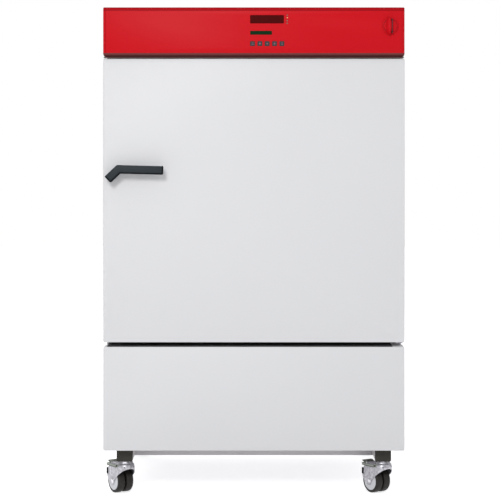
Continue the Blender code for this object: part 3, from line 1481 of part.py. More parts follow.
def build():
    clear_scene()
    make_outer_housing()
    make_rear_panel()
    make_foam_body()
    make_inner_chamber()
    make_front_frame()
    make_lower_front_panel()
    make_fascia()
    make_displays()
    make_indicator_bar()
    make_control_board()
    make_keys()
    make_limiter_knob()
    make_door_shell()
    make_door_inner_panel()
    make_door_gasket()
    make_door_handle()
    make_latch_finger()
    make_latch_keeper()
    make_hinges()
    make_glass_door()
    make_rack("rack_lower", RACK_LEVELS[0])
    make_rack("rack_upper", RACK_LEVELS[1])
    make_air_baffle()
    make_chamber_fan()
    make_chamber_fan_motor()
    make_evaporator()
    make_port()
    make_base_pan()
    make_compressor()
    make_condenser()
    make_condenser_fan()
    make_base_frame()
    make_rail_caps()
    make_castors()


build()
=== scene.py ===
"""Dress a refrigerated incubator: paint, plastic, steel and the small parts that show.

The file is laid out as an add-on and run as a script. Units are metres, +Z is up and the front
of the cabinet faces -Y.
"""

import json
import math

import bmesh
import bpy
from bpy.props import FloatProperty, FloatVectorProperty, IntProperty, PointerProperty
from bpy.types import Operator, Panel, PropertyGroup
from mathutils import Matrix, Vector


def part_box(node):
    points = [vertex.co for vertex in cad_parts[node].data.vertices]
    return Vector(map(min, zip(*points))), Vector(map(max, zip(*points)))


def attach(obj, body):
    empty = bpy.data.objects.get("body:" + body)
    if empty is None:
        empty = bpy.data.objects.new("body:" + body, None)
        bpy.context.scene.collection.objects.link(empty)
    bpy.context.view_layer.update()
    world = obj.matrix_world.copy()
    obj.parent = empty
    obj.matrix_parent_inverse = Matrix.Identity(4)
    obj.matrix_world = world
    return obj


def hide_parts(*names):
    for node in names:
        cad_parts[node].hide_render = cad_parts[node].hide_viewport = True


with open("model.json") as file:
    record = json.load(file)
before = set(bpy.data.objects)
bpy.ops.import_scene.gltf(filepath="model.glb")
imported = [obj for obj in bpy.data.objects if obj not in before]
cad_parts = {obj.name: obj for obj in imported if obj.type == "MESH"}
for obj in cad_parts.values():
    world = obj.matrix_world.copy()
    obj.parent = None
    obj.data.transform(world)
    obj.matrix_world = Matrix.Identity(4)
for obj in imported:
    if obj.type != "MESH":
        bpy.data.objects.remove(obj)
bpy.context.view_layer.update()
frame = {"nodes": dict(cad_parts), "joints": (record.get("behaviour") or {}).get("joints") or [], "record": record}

bl_info = {
    "name": "Refrigerated incubator",
    "version": (1, 0, 0),
    "blender": (4, 5, 0),
    "location": "View3D > Sidebar > Incubator",
    "description": "Finishes and small parts of a refrigerated incubator",
    "category": "Object",
}


def node_box(name):
    """Lowest and highest corner of a CAD node as vectors."""
    low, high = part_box(name)
    return Vector(low), Vector(high)


def node_centre(name):
    low, high = node_box(name)
    return (low + high) / 2


def joint_named(name):
    return next(joint for joint in frame["joints"] if joint["name"] == name)


# Castor hood, in the castor's axes: half width, rear, top, sheet, shoulder and back curve
HOOD_HALF = 0.0295
HOOD_REAR = 0.0687
HOOD_TOP = 0.0950
HOOD_SHEET = 0.0022
HOOD_CORNER = 0.0060
HOOD_INSET = 0.0065
HOOD_DROP = 0.0140
HOOD_BACK = (0.0295, 0.0560, 0.0395)
# Height of the hood's lower edge at places along the trail
HOOD_LOWER_EDGE = (
    (-0.0295, 0.0798), (-0.0270, 0.0776), (-0.0197, 0.0716), (-0.0076, 0.0612), (0.0, 0.0552),
    (0.0090, 0.0485), (0.0160, 0.0418), (0.0190, 0.0372), (0.0212, 0.0312), (0.0250, 0.0264),
    (0.0300, 0.0240), (0.0350, 0.0234), (0.0410, 0.0250), (0.0480, 0.0300), (0.0560, 0.0372),
    (0.0630, 0.0452), (0.0668, 0.0510), (0.0687, 0.0556))
# Pips on the brow of the hood: turn, reach, height and lean, in metres and degrees
HOOD_PIPS = ((-34.0, 0.0293, 0.0850, 8.0), (0.0, 0.0252, 0.0932, 52.0),
             (34.0, 0.0293, 0.0850, 8.0))
# Outline of the cover over the ball race, as (radius, height)
SWIVEL_CAP = ((0.0215, 0.0952), (0.0240, 0.0952), (0.0236, 0.0975), (0.0228, 0.0988),
              (0.0215, 0.0990))
# How much wider each tyre is than its solid, and the rounding of its tread
TYRE_EXTRA = 0.0020
TREAD_ROUND = 0.0045
# Outer face of the tyre, and the hub disc, as (radius, height from that face)
TYRE_FACE = ((0.0302, 0.0), (0.0300, -0.0006), (0.0296, -0.0012), (0.0044, -0.0012))
HUB_DISC = ((0.0046, -0.0010), (0.0294, -0.0010), (0.0292, -0.0004), (0.0280, -0.0002),
            (0.0250, -0.0004), (0.0120, 0.0002), (0.0090, 0.0004), (0.0046, 0.0004))
# Ears that hold the brake pedal, and the brake arm with its pivot (place on the trail, height)
EAR_X = 0.0157
EAR_SHEET = 0.0028
ARM_LENGTH = 0.0560
ARM_PIVOT = (-0.0020, 0.0885)
# Limiter knob: disc, a darker ring of painted shade, a dark line of painted shadow beside the grip, and the grip's
# steps as (share of lift, across, tall)
DISC_THICK = 0.0058
DISC_RIM = 0.0025
RING_INSETS = (0.0050, 0.0026)
RING_FACES = (0.0050, 0.0060)
LINE_SHIFT = (0.0046, -0.0010)
LINE_WIDTH = 0.0018
GRIP_SHIFT = 0.0035
GRIP_SINK = 0.0010
GRIP_HALF = 0.0105
GRIP_STEPS = ((0.35, 0.93, 0.98), (0.40, 0.62, 0.95), (0.20, 0.42, 0.90), (0.05, 0.40, 0.96))
# Dark lip under the fascia, whose brown is painted shade; it also shades the top of the door
LIP_SIZE = (0.9200, 0.0180, 0.0024)
LIP_SETBACK = 0.0010
LIP_DROP = 0.0013
LIP_CORNER = 0.0030
# Black rim of painted shade on the lever's lower edges and ends, and a dark strip in the gap under the door
RIM_DEPTH = 0.0190
RIM_THICK = 0.0013
STRIP_X = -0.0125
STRIP_LENGTH = 0.875
RACK_WIRES = 31
UP = Vector((0.0, 0.0, 1.0))


class IncubatorSizes(PropertyGroup):
    """Sizes of the details that this file adds."""

    panel_edge: FloatProperty(
        name="Panel Edge", description="Rounding of the folded sheet edges",
        default=0.0012, min=0.0002, max=0.003, unit="LENGTH")
    handle_edge: FloatProperty(
        name="Handle Edge", description="Rounding of the lever handle's edges",
        default=0.0035, min=0.001, max=0.006, unit="LENGTH")
    screw_radius: FloatProperty(
        name="Screw Radius", description="Radius of the screw heads on the back",
        default=0.0045, min=0.002, max=0.008, unit="LENGTH")
    wire_radius: FloatProperty(
        name="Rack Wire Radius", description="Radius of the round wires of the racks",
        default=0.0019, min=0.001, max=0.0024, unit="LENGTH")
    wheel_sides: IntProperty(
        name="Wheel Sides", description="Number of steps round a castor wheel",
        default=56, min=24, max=128)


class IncubatorColours(PropertyGroup):
    """Colours of the finishes, as linear values."""

    door_white: FloatVectorProperty(
        name="Cabinet White", description="Powder coat of the door and the panels",
        default=(0.742, 0.740, 0.786), subtype="COLOR", min=0.0, max=1.0)
    fascia_red: FloatVectorProperty(
        name="Fascia Red", description="Paint of the control fascia",
        default=(0.555, 0.0065, 0.0125), subtype="COLOR", min=0.0, max=1.0)
    handle_grey: FloatVectorProperty(
        name="Handle Grey", description="Moulded plastic of the lever handle",
        default=(0.024, 0.031, 0.035), subtype="COLOR", min=0.0, max=1.0)
    tube_grey: FloatVectorProperty(
        name="Tube Grey", description="Paint of the base frame",
        default=(0.65, 0.625, 0.63), subtype="COLOR", min=0.0, max=1.0)


def sizes():
    return bpy.context.scene.incubator_sizes


def colours():
    return bpy.context.scene.incubator_colours


# Shader node groups


def new_group(name, inputs):
    """Make a shader node group with float inputs, a vector, and height and tone as outputs."""
    group = bpy.data.node_groups.new(name, "ShaderNodeTree")
    for label, value in inputs:
        socket = group.interface.new_socket(label, in_out="INPUT", socket_type="NodeSocketFloat")
        socket.default_value = value
    group.interface.new_socket("Vector", in_out="INPUT", socket_type="NodeSocketVector")
    for label in ("Height", "Tone"):
        group.interface.new_socket(label, in_out="OUTPUT", socket_type="NodeSocketFloat")
    start = group.nodes.new("NodeGroupInput")
    end = group.nodes.new("NodeGroupOutput")
    return group, start, end


def feed(tree, node, values):
    """Give a node's inputs, by name or number, their values or link them to other sockets."""
    for label, value in values.items():
        if isinstance(value, bpy.types.NodeSocket):
            tree.links.new(value, node.inputs[label])
        else:
            node.inputs[label].default_value = value


def add_math(tree, operation, *values, clamp=False):
    """Add a Math node whose operands are sockets or numbers."""
    node = tree.nodes.new("ShaderNodeMath")
    node.operation = operation
    node.use_clamp = clamp
    feed(tree, node, dict(enumerate(values)))
    return node.outputs[0]


def add_noise(tree, vector, scale, detail=3.0, roughness=0.5):
    node = tree.nodes.new("ShaderNodeTexNoise")
    feed(tree, node, {"Vector": vector, "Scale": scale, "Detail": detail,
                      "Roughness": roughness})
    return node.outputs["Fac"]


def add_mapping(tree, vector, scale, turn=(0.0, 0.0, 0.0)):
    node = tree.nodes.new("ShaderNodeMapping")
    feed(tree, node, {"Vector": vector, "Scale": scale, "Rotation": turn})
    return node.outputs["Vector"]


def mix_colours(tree, factor, first, second, target):
    """Mix two colours, each a socket or a value, and link the result to a target."""
    mix = tree.nodes.new("ShaderNodeMix")
    mix.data_type = "RGBA"
    feed(tree, mix, {"Factor": factor, "A": first, "B": second})
    tree.links.new(mix.outputs["Result"], target)


def centred_tone(group, value, amount):
    """Swing of a value about its middle, scaled by an amount and set about one half."""
    shift = add_math(group, "SUBTRACT", value, 0.5)
    return add_math(group, "MULTIPLY_ADD", shift, amount, 0.5)


def close_group(group, end, height, tone):
    feed(group, end, {"Height": height, "Tone": tone})
    return group


def powder_group(name):
    """Orange peel of a powder coat: a fine skin height and slow changes of tone."""
    group, start, end = new_group(name, (("Grain", 900.0), ("Spread", 0.04)))
    vector = start.outputs["Vector"]
    fine = add_noise(group, vector, start.outputs["Grain"], 2.0, 0.6)
    slow = add_noise(group, vector, 2.2, 2.0, 0.5)
    return close_group(group, end, fine, centred_tone(group, slow, start.outputs["Spread"]))


def brushed_group(name):
    """Long fine grain of brushed sheet, along the vector's X axis."""
    group, start, end = new_group(name, (("Grain", 1200.0), ("Contrast", 0.3)))
    stretched = add_mapping(group, start.outputs["Vector"], (0.02, 1.0, 1.0))
    fine = add_noise(group, stretched, start.outputs["Grain"], 4.0, 0.65)
    return close_group(group, end, fine, centred_tone(group, fine, start.outputs["Contrast"]))


def spangle_group(name):
    """Crystal spangle of zinc plating, with fine pits."""
    group, start, end = new_group(name, (("Grain", 160.0), ("Contrast", 0.3)))
    cells = group.nodes.new("ShaderNodeTexVoronoi")
    feed(group, cells, {"Vector": start.outputs["Vector"], "Scale": start.outputs["Grain"]})
    bright = group.nodes.new("ShaderNodeSeparateColor")
    feed(group, bright, {"Color": cells.outputs["Color"]})
    tone = centred_tone(group, bright.outputs[0], start.outputs["Contrast"])
    pits = add_noise(group, start.outputs["Vector"], 700.0, 3.0, 0.6)
    return close_group(group, end, pits, tone)


def moulded_group(name):
    """Spark-eroded texture of moulded plastic or rubber, with a little dust."""
    group, start, end = new_group(name, (("Grain", 1500.0), ("Dust", 0.2)))
    vector = start.outputs["Vector"]
    fine = add_noise(group, vector, start.outputs["Grain"], 2.0, 0.7)
    smears = add_noise(group, vector, 14.0, 4.0, 0.6)
    ramp = add_math(group, "SUBTRACT", smears, 0.45)
    dust = add_math(group, "MULTIPLY", ramp, start.outputs["Dust"])
    return close_group(group, end, fine, add_math(group, "ADD", dust, 0.5))


# Each surface: the function that makes its group, the group's name and its input for contrast
GROUPS = {
    "powder": (powder_group, "Powder coat skin", "Spread"),
    "brushed": (brushed_group, "Brushed grain", "Contrast"),
    "spangle": (spangle_group, "Zinc spangle", "Contrast"),
    "moulded": (moulded_group, "Moulded skin", "Dust"),
}


def new_material(label):
    """Make a material, and return it with its tree, its shader and its object coordinates."""
    made = bpy.data.materials.new(label)
    made.use_nodes = True
    tree = made.node_tree
    place = tree.nodes.new("ShaderNodeTexCoord")
    return made, tree, tree.nodes["Principled BSDF"], place.outputs["Object"]


def finish_material(name, colour, kind, roughness, metallic=0.0, grain=1000.0, vary=0.1,
                    bump=0.0002, spread=0.08, coat=0.0, shine=0.5, turn=(0.0, 0.0, 0.0)):
    """Material whose colour, roughness and bump come from one of the surface groups."""
    label = f"{name}_surface"
    if label in bpy.data.materials:
        return bpy.data.materials[label]
    made, tree, shader, vector = new_material(label)
    if any(turn):
        vector = add_mapping(tree, vector, (1.0, 1.0, 1.0), turn)
    builder, group_name, amount = GROUPS[kind]
    skin = tree.nodes.new("ShaderNodeGroup")
    skin.node_tree = bpy.data.node_groups.get(group_name) or builder(group_name)
    feed(tree, skin, {"Vector": vector, "Grain": grain, amount: vary})
    height = skin.outputs["Height"]
    dark = (*[channel * 0.5 for channel in colour], 1.0)
    light = (*[min(1.0, channel * 1.5) for channel in colour], 1.0)
    mix_colours(tree, skin.outputs["Tone"], dark, light, shader.inputs["Base Color"])
    rough = add_math(tree, "MULTIPLY_ADD", height, spread, roughness - spread / 2)
    lift = tree.nodes.new("ShaderNodeBump")
    feed(tree, lift, {"Strength": 0.35, "Distance": bump, "Height": height})
    feed(tree, shader, {"Roughness": rough, "Normal": lift.outputs["Normal"],
                        "Metallic": metallic, "Coat Weight": coat, "Specular IOR Level": shine})
    return made


def object_axis(tree, axis):
    """Socket that carries one object coordinate."""
    place = tree.nodes.new("ShaderNodeTexCoord")
    split = tree.nodes.new("ShaderNodeSeparateXYZ")
    feed(tree, split, {"Vector": place.outputs["Object"]})
    return split.outputs[axis]


def tint_range(tree, value, start, end, colour):
    """Mix a colour over the material's own as a value runs from start to end."""
    base = tree.nodes["Principled BSDF"].inputs["Base Color"]
    zone = tree.nodes.new("ShaderNodeMapRange")
    feed(tree, zone, {"Value": value, "From Min": start, "From Max": end})
    mix_colours(tree, zone.outputs["Result"], base.links[0].from_socket, (*colour, 1.0), base)


def tint_zone(made, axis, start, end, colour):
    """Tint a material beyond a plane: the tint grows from start to end along an object axis."""
    tree = made.node_tree
    tint_range(tree, object_axis(tree, axis), start, end, colour)


def tint_band(made, axis, centre, half, colour):
    """Tint a narrow band of a material about a plane across an object axis."""
    tree = made.node_tree
    shift = add_math(tree, "SUBTRACT", object_axis(tree, axis), centre)
    distance = add_math(tree, "ABSOLUTE", shift, 0.0)
    tint_range(tree, distance, half, half * 0.4, colour)


# Each finish: surface, linear colour or the panel's name for it, roughness, and what differs
# from the usual values
FINISHES = {
    "arm_grey": ("moulded", (0.27, 0.30, 0.25), 0.42, {"vary": 0.4}),
    "back_paint": ("powder", (0.62, 0.62, 0.64), 0.5, {"vary": 0.05}),
    "black_plastic": ("moulded", (0.034, 0.031, 0.025), 0.55, {"vary": 0.4, "shine": 0.2}),
    "board_green": ("moulded", (0.02, 0.13, 0.05), 0.4, {"vary": 0.3}),
    "fins_metal": ("brushed", (0.66, 0.67, 0.69), 0.4,
                   {"metallic": 1.0, "vary": 0.2, "turn": (0.0, math.pi / 2, 0.0)}),
    "foam_yellow": ("moulded", (0.75, 0.66, 0.42), 0.9,
                    {"vary": 0.5, "grain": 500.0, "bump": 0.001}),
    "handle_plastic": ("moulded", "handle_grey", 0.5,
                       {"vary": 0.25, "grain": 1600.0, "shine": 0.15}),
    "hub_plastic": ("moulded", (0.66, 0.67, 0.77), 0.4, {}),
    "key_plastic": ("moulded", (0.022, 0.032, 0.034), 0.5, {"vary": 0.2, "shine": 0.25}),
    "line_painted_shadow": ("moulded", (0.022, 0.003, 0.007), 0.6, {"vary": 0.2}),
    "lip_painted_shade": ("moulded", (0.100, 0.046, 0.043), 0.6, {"vary": 0.2, "shine": 0.1}),
    "mark_print": ("moulded", (0.20, 0.06, 0.10), 0.5, {"vary": 0.2}),
    "pedal_plastic": ("moulded", (0.15, 0.165, 0.13), 0.45, {"vary": 0.5}),
    "pip_grey": ("spangle", (0.13, 0.13, 0.14), 0.45, {"metallic": 0.5}),
    "polished_zinc": ("brushed", (0.86, 0.86, 0.90), 0.18, {"metallic": 0.9, "spread": 0.1}),
    "pot_black": ("powder", (0.02, 0.02, 0.022), 0.35, {"vary": 0.3}),
    "rack_wire": ("brushed", (0.66, 0.66, 0.67), 0.25, {"metallic": 1.0, "spread": 0.12}),
    "rubber_and_painted_shade": ("moulded", (0.006, 0.007, 0.008), 0.7,
                   {"vary": 0.3, "grain": 1200.0, "shine": 0.06}),
    "seal_rubber": ("moulded", (0.030, 0.030, 0.032), 0.6, {"vary": 0.3}),
    "silicone": ("moulded", (0.72, 0.71, 0.68), 0.5, {}),
    "stainless": ("brushed", (0.62, 0.62, 0.63), 0.32,
                  {"metallic": 1.0, "vary": 0.18, "bump": 0.00005, "spread": 0.18}),
    "tube_paint": ("powder", "tube_grey", 0.5, {"vary": 0.06}),
    "wheel_rubber": ("moulded", (0.013, 0.0115, 0.0095), 0.55,
                     {"vary": 0.6, "grain": 900.0, "shine": 0.3}),
    "white_paint": ("powder", "door_white", 0.48,
                    {"vary": 0.03, "grain": 700.0, "bump": 0.0001, "shine": 0.35}),
    "zinc_plate": ("spangle", (0.45, 0.44, 0.47), 0.41,
                   {"metallic": 0.85, "vary": 0.55, "grain": 170.0, "bump": 0.0001,
                    "spread": 0.25}),
}


def surface(name):
    """Material of a finish from the table."""
    kind, colour, roughness, extra = FINISHES[name]
    if isinstance(colour, str):
        colour = getattr(colours(), colour)
    return finish_material(name, colour, kind, roughness, **extra)


def red_paint(name="red_paint", share=1.0, roughness=0.38):
    """Red powder coat, or a darker share of it, as painted shade, under a name of its own."""
    red = [channel * share for channel in colours().fascia_red]
    return finish_material(name, red, "powder", roughness, grain=900.0, vary=0.05,
                           bump=0.00008, shine=0.06)


def fascia_enamel_painted_shade():
    """Red enamel with painted shade: darker over the top border, dark lines at the top crease and the side
    borders, and brown-red along the lower edge.
    """
    made = red_paint("fascia_enamel_painted_shade")
    low, high = node_box("fascia")
    top_shade, crease_shade = ([channel * share for channel in colours().fascia_red]
                    for share in (0.72, 0.50))
    # Painted shade: the top border darker, with dark lines at its crease and along both side borders
    tint_zone(made, "Z", high.z - 0.0110, high.z - 0.0104, top_shade)
    tint_band(made, "Z", high.z - 0.0110, 0.0010, crease_shade)
    tint_band(made, "X", low.x + 0.0083, 0.0010, crease_shade)
    tint_band(made, "X", high.x - 0.0080, 0.0006, crease_shade)
    # Painted shade along the lower edge: brown-red on the bottom bevel, darkest at the very bottom
    tint_zone(made, "Z", low.z + 0.0124, low.z + 0.0114, (0.160, 0.046, 0.045))
    tint_zone(made, "Z", low.z + 0.0070, low.z + 0.0020, (0.080, 0.018, 0.020))
    return made


def window_material(name, colour, glow=None):
    """Smooth tinted window with a faint darker veil from noise, and a coat."""
    made = finish_material(name, colour, "moulded", 0.16, vary=0.3, bump=0.00001, coat=0.02,
                           spread=0.04, shine=0.08)
    if glow is not None:
        feed(made.node_tree, made.node_tree.nodes["Principled BSDF"],
             {"Emission Color": (*glow, 1.0), "Emission Strength": 0.35})
    return made


def pane_glass():
    """Clear float glass, faintly green, with soft streaks in its polish."""
    made, tree, shader, vector = new_material("pane_glass_surface")
    streaks = add_noise(tree, add_mapping(tree, vector, (1.0, 1.0, 0.2)), 9.0)
    feed(tree, shader, {"Base Color": (0.93, 0.97, 0.96, 1.0), "Transmission Weight": 1.0,
                        "IOR": 1.5, "Roughness": add_math(tree, "MULTIPLY", streaks, 0.05)})
    return made


# Mesh helpers


def finish_piece(name, mesh, finish, body, replaced=(), smooth=35.0):
    """Turn a bmesh into a piece that rides on a body, and hide the nodes that it replaces.

    The finish is a material or the name of one in the table of finishes.
    """
    bmesh.ops.remove_doubles(mesh, verts=mesh.verts, dist=1e-6)
    bmesh.ops.recalc_face_normals(mesh, faces=mesh.faces)
    data = bpy.data.meshes.new(name)
    mesh.to_mesh(data)
    mesh.free()
    data.materials.append(surface(finish) if isinstance(finish, str) else finish)
    data.shade_smooth()
    data.set_sharp_from_angle(angle=math.radians(smooth))
    piece = bpy.data.objects.new(name, data)
    bpy.context.scene.collection.objects.link(piece)
    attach(piece, body)
    if replaced:
        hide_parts(*replaced)
    return piece


def merged_copy(node):
    """Bmesh of a CAD node with its loose triangles merged and its flat faces joined."""
    mesh = bmesh.new()
    mesh.from_mesh(frame["nodes"][node].data)
    bmesh.ops.remove_doubles(mesh, verts=mesh.verts, dist=1e-5)
    bmesh.ops.dissolve_limit(mesh, angle_limit=math.radians(1.0), verts=mesh.verts,
                             edges=mesh.edges)
    return mesh


def body_of(node):
    return next(name for name, nodes in frame["record"]["behaviour"]["bodies"].items()
                if node in nodes)


def dress(name, mesh, finish, node, replaced=(), smooth=35.0):
    """Make a piece that rides on a CAD node's body."""
    return finish_piece(name, mesh, finish, body_of(node), replaced, smooth)


def refine(node, finish, edge=0.0):
    """Replace a CAD node by a merged, smooth-shaded copy, with rounded edges if given a width."""
    piece = dress(f"{node}_finish", merged_copy(node), finish, node, (node,))
    if edge:
        bevel = piece.modifiers.new("edge", "BEVEL")
        bevel.width = edge
        bevel.segments = 2
        bevel.limit_method = "ANGLE"
        bevel.angle_limit = math.radians(40.0)
        bevel.use_clamp_overlap = True
        bevel.harden_normals = True


def paint_node(node, finish):
    """Give a CAD node its material."""
    shown = frame["nodes"][node]
    shown.data.materials.clear()
    shown.data.materials.append(finish)


def add_block(mesh, centre, size, turn=None):
    """Add a box to a bmesh."""
    place = Matrix.Translation(centre)
    if turn is not None:
        place = place @ turn
    bmesh.ops.create_cube(mesh, size=1.0, matrix=place @ Matrix.Diagonal((*size, 1.0)))


def add_rod(mesh, centre, radius, length, axis, sides):
    """Add a closed rod along X or Y to a bmesh."""
    turns = {"X": Matrix.Rotation(math.pi / 2, 4, "Y"), "Y": Matrix.Rotation(-math.pi / 2, 4, "X")}
    bmesh.ops.create_cone(mesh, cap_ends=True, segments=sides, radius1=radius, radius2=radius,
                          depth=length, matrix=Matrix.Translation(centre) @ turns[axis])


def edges_of(verts):
    return list({edge for vert in verts for edge in vert.link_edges})


def round_edges(mesh, edges, width, segments=3):
    bmesh.ops.bevel(mesh, geom=edges, offset=width, segments=segments, profile=0.5,
                    affect="EDGES", material=-1, clamp_overlap=True)


def turned_profile(mesh, profile, centre, axis, side, sides):
    """Spin a closed outline of (radius, height) once about an axis."""
    verts = []
    for radius, height in profile:
        verts.append(mesh.verts.new(centre + side * radius + axis * height))
    edges = [mesh.edges.new(pair) for pair in zip(verts, verts[1:] + verts[:1])]
    bmesh.ops.spin(mesh, geom=verts + edges, cent=centre, axis=axis, angle=2 * math.pi,
                   steps=sides, use_merge=True, use_duplicate=False)
    bmesh.ops.remove_doubles(mesh, verts=mesh.verts, dist=1e-6)
    loose = [edge for edge in mesh.edges if not edge.link_faces]
    bmesh.ops.delete(mesh, geom=loose, context="EDGES")


def rounded_corner(centre, radius, start, end, steps):
    """Points of an arc in degrees, as (radius, height) pairs."""
    points = []
    for step in range(steps + 1):
        angle = math.radians(start + (end - start) * step / steps)
        points.append((centre[0] + radius * math.cos(angle), centre[1] + radius * math.sin(angle)))
    return points


# Pieces


def build_cabinet():
    edge = sizes().panel_edge
    refine("outer_housing", "white_paint")
    refine("lower_front_panel", "white_paint", edge * 0.5)
    build_rear()
    refine("front_frame", "white_paint")
    refine("base_pan", "zinc_plate")
    refine("base_frame", "tube_paint", edge)
    # Dark strips of painted shade along the top of each rail cap
    shade_strips = bmesh.new()
    for node in ("rail_cap_left", "rail_cap_right"):
        refine(node, "black_plastic", edge * 0.5)
        low, high = node_box(node)
        add_block(shade_strips, ((low.x + high.x) / 2, low.y + 0.0008, high.z - 0.0016),
                  (high.x - low.x, 0.0022, 0.0030))
    dress("cap_shade_strips", shade_strips, "rubber_and_painted_shade", "rail_cap_left")
    paint_node("foam_body", surface("foam_yellow"))


def build_rear():
    """Rear panel with lips over its air slots and round-headed screws near its edges."""
    low, high = node_box("rear_panel")
    proud = 0.0006
    sheet = merged_copy("rear_panel")
    outer = [vert for vert in sheet.verts if vert.co.y > high.y - 0.0001]
    bmesh.ops.translate(sheet, verts=outer, vec=(0.0, -proud, 0.0))
    dress("rear_panel_finish", sheet, "back_paint", "rear_panel", ("rear_panel",))
    face = high.y - proud
    lips = bmesh.new()
    for row in range(8):
        for side in (-1, 1):
            add_block(lips, (side * 0.180, face + proud * 0.4, low.z + 0.0680 + row * 0.027),
                      (0.304, proud, 0.0022))
    round_edges(lips, edges_of(lips.verts), 0.0002, 1)
    dress("louvre_lips", lips, "back_paint", "rear_panel")
    screws = bmesh.new()
    radius = sizes().screw_radius
    places = [(x, z) for x in (-1, 1) for z in (0.02, 0.26, 0.50, 0.74, 0.98)]
    spots = [(x * (high.x - 0.016), low.z + z * (high.z - low.z)) for x, z in places]
    spots += [(x, z) for x in (-0.22, 0.0, 0.22) for z in (low.z + 0.016, high.z - 0.016)]
    flat = Matrix.Diagonal((1.0, proud / radius, 1.0, 1.0))
    for x, z in spots:
        bmesh.ops.create_uvsphere(screws, u_segments=20, v_segments=10, radius=radius * 0.98,
                                  matrix=Matrix.Translation((x, face, z)) @ flat)
    dress("rear_screws", screws, "polished_zinc", "rear_panel")


def build_fascia():
    refine("fascia", fascia_enamel_painted_shade(), 0.0008)
    refine("led_display", window_material("led_window", (0.066, 0.001, 0.001)), 0.0006)
    refine("lcd_display", window_material("lcd_window", (0.003, 0.026, 0.008)), 0.0006)
    refine("control_board", "board_green")
    refine("indicator_bar", window_material("lamp_lens", (0.24, 0.15, 0.12)), 0.0003)
    for index in range(1, 6):
        refine(f"key_{index}", "key_plastic", 0.0006)
        build_key_mark(index)
    build_lit_lens()
    build_fascia_lip()


def build_fascia_lip():
    """Thin dark lip under the fascia, a little proud of the door: its brown is painted shade, and it shades the
    door's top.
    """
    low = node_box("fascia")[0].z
    front = node_box("door_shell")[0].y
    mesh = bmesh.new()
    add_block(mesh, (0.0, front + LIP_SETBACK, low - LIP_DROP), LIP_SIZE)
    corners = [edge for edge in mesh.edges
               if abs(edge.verts[0].co.z - edge.verts[1].co.z) > LIP_SIZE[2] / 2
               and edge.verts[0].co.y < front]
    round_edges(mesh, corners, LIP_CORNER, 4)
    dress("fascia_lip", mesh, "lip_painted_shade", "fascia")


def build_key_mark(index):
    """Dim magenta mark on a key: two bars, a dot, a wedge or a square."""
    low, high = node_box(f"key_{index}")
    centre = Vector(((low.x + high.x) / 2, low.y, (low.z + high.z) / 2))
    half = (high.x - low.x) * 0.22
    mesh = bmesh.new()
    if index in (1, 5):
        for shift in (-0.6, 0.6):
            add_block(mesh, centre + Vector((0.0, 0.0, shift * half)),
                      (half * 1.8, 0.0003, half * 0.4))
    elif index == 2:
        add_rod(mesh, centre, half * 0.8, 0.0003, "Y", 16)
    elif index == 3:
        add_rod(mesh, centre, half, 0.0003, "Y", 3)
    else:
        add_block(mesh, centre, (half * 1.4, 0.0003, half * 1.4))
    finish_piece(f"key_mark_{index}", mesh, "mark_print", f"key_{index}")


def build_lit_lens():
    """The second lamp from the top is lit: a glowing cap on its lens."""
    low, high = node_box("indicator_bar")
    radius = (high.x - low.x) * 0.21
    place = Vector(((low.x + high.x) / 2, low.y - 0.0002, high.z - (high.z - low.z) * 0.355))
    mesh = bmesh.new()
    bmesh.ops.create_uvsphere(mesh, u_segments=20, v_segments=12, radius=radius,
                              matrix=Matrix.Translation(place) @ Matrix.Diagonal((1, 0.35, 1, 1)))
    amber = window_material("lit_amber", (0.70, 0.30, 0.12), (1.0, 0.46, 0.18))
    finish_piece("lit_lens", mesh, amber, "cabinet")


def build_knob():
    """Limiter knob: a disc with a softened rim and a tall boat-shaped grip with a narrow ridge."""
    node = "limiter_knob"
    low, high = node_box(node)
    pivot = Vector(joint_named("limiter_turn")["pos_m"])
    radius = (high.x - low.x) / 2
    back = node_box("fascia")[0].y - 0.0003
    centre = Vector((pivot.x, back, pivot.z))
    out = Vector((0.0, -1.0, 0.0))
    rim = rounded_corner((radius - DISC_RIM, DISC_THICK - DISC_RIM), DISC_RIM, 0, 90, 6)
    mesh = bmesh.new()
    turned_profile(mesh, [(0.0, 0.0), (radius, 0.0)] + rim + [(0.0, DISC_THICK)], centre, out,
                   UP, 64)
    dress("limiter_disc", mesh, red_paint(), node, (node,))
    # Darker red ring: painted shade round the foot of the disc
    ring = bmesh.new()
    inner, outer = (radius - inset for inset in RING_INSETS)
    rear, front = RING_FACES
    turned_profile(ring, [(inner, rear), (outer, rear), (outer, front), (inner, front)],
                   centre, out, UP, 64)
    dress("limiter_ring", ring, red_paint("ring_painted_shade", 0.6, 0.4), node)
    half_height = (high.z - low.z) / 2
    base = Vector((pivot.x - GRIP_SHIFT, back - DISC_THICK + GRIP_SINK, pivot.z))
    lift = base.y - low.y
    grip = bmesh.new()
    turn = Matrix.Rotation(math.pi / 2, 4, "X")
    shape = Matrix.Translation(base) @ turn @ Matrix.Diagonal((GRIP_HALF, half_height, 1, 1))
    bmesh.ops.create_circle(grip, cap_ends=True, segments=40, radius=1.0, matrix=shape)
    raised = next(iter(grip.faces))
    for depth, across, tall in GRIP_STEPS:
        made = bmesh.ops.extrude_face_region(grip, geom=[raised])["geom"]
        raised = next(part for part in made if isinstance(part, bmesh.types.BMFace))
        verts = list(raised.verts)
        middle = Vector((base.x, verts[0].co.y, base.z))
        bmesh.ops.translate(grip, verts=verts, vec=(0.0, -lift * depth, 0.0))
        bmesh.ops.scale(grip, verts=verts, vec=(across, 1.0, tall),
                        space=Matrix.Translation(-middle))
    dress("limiter_grip", grip, red_paint(), node, smooth=50.0)
    # Dark line beside the grip: painted shadow of the grip
    line = bmesh.new()
    add_block(line, (pivot.x + LINE_SHIFT[0], base.y - lift * 0.38, pivot.z + LINE_SHIFT[1]),
              (LINE_WIDTH, lift * 0.76, half_height * 1.60))
    dress("limiter_shadow_line", line, "line_painted_shadow", node)


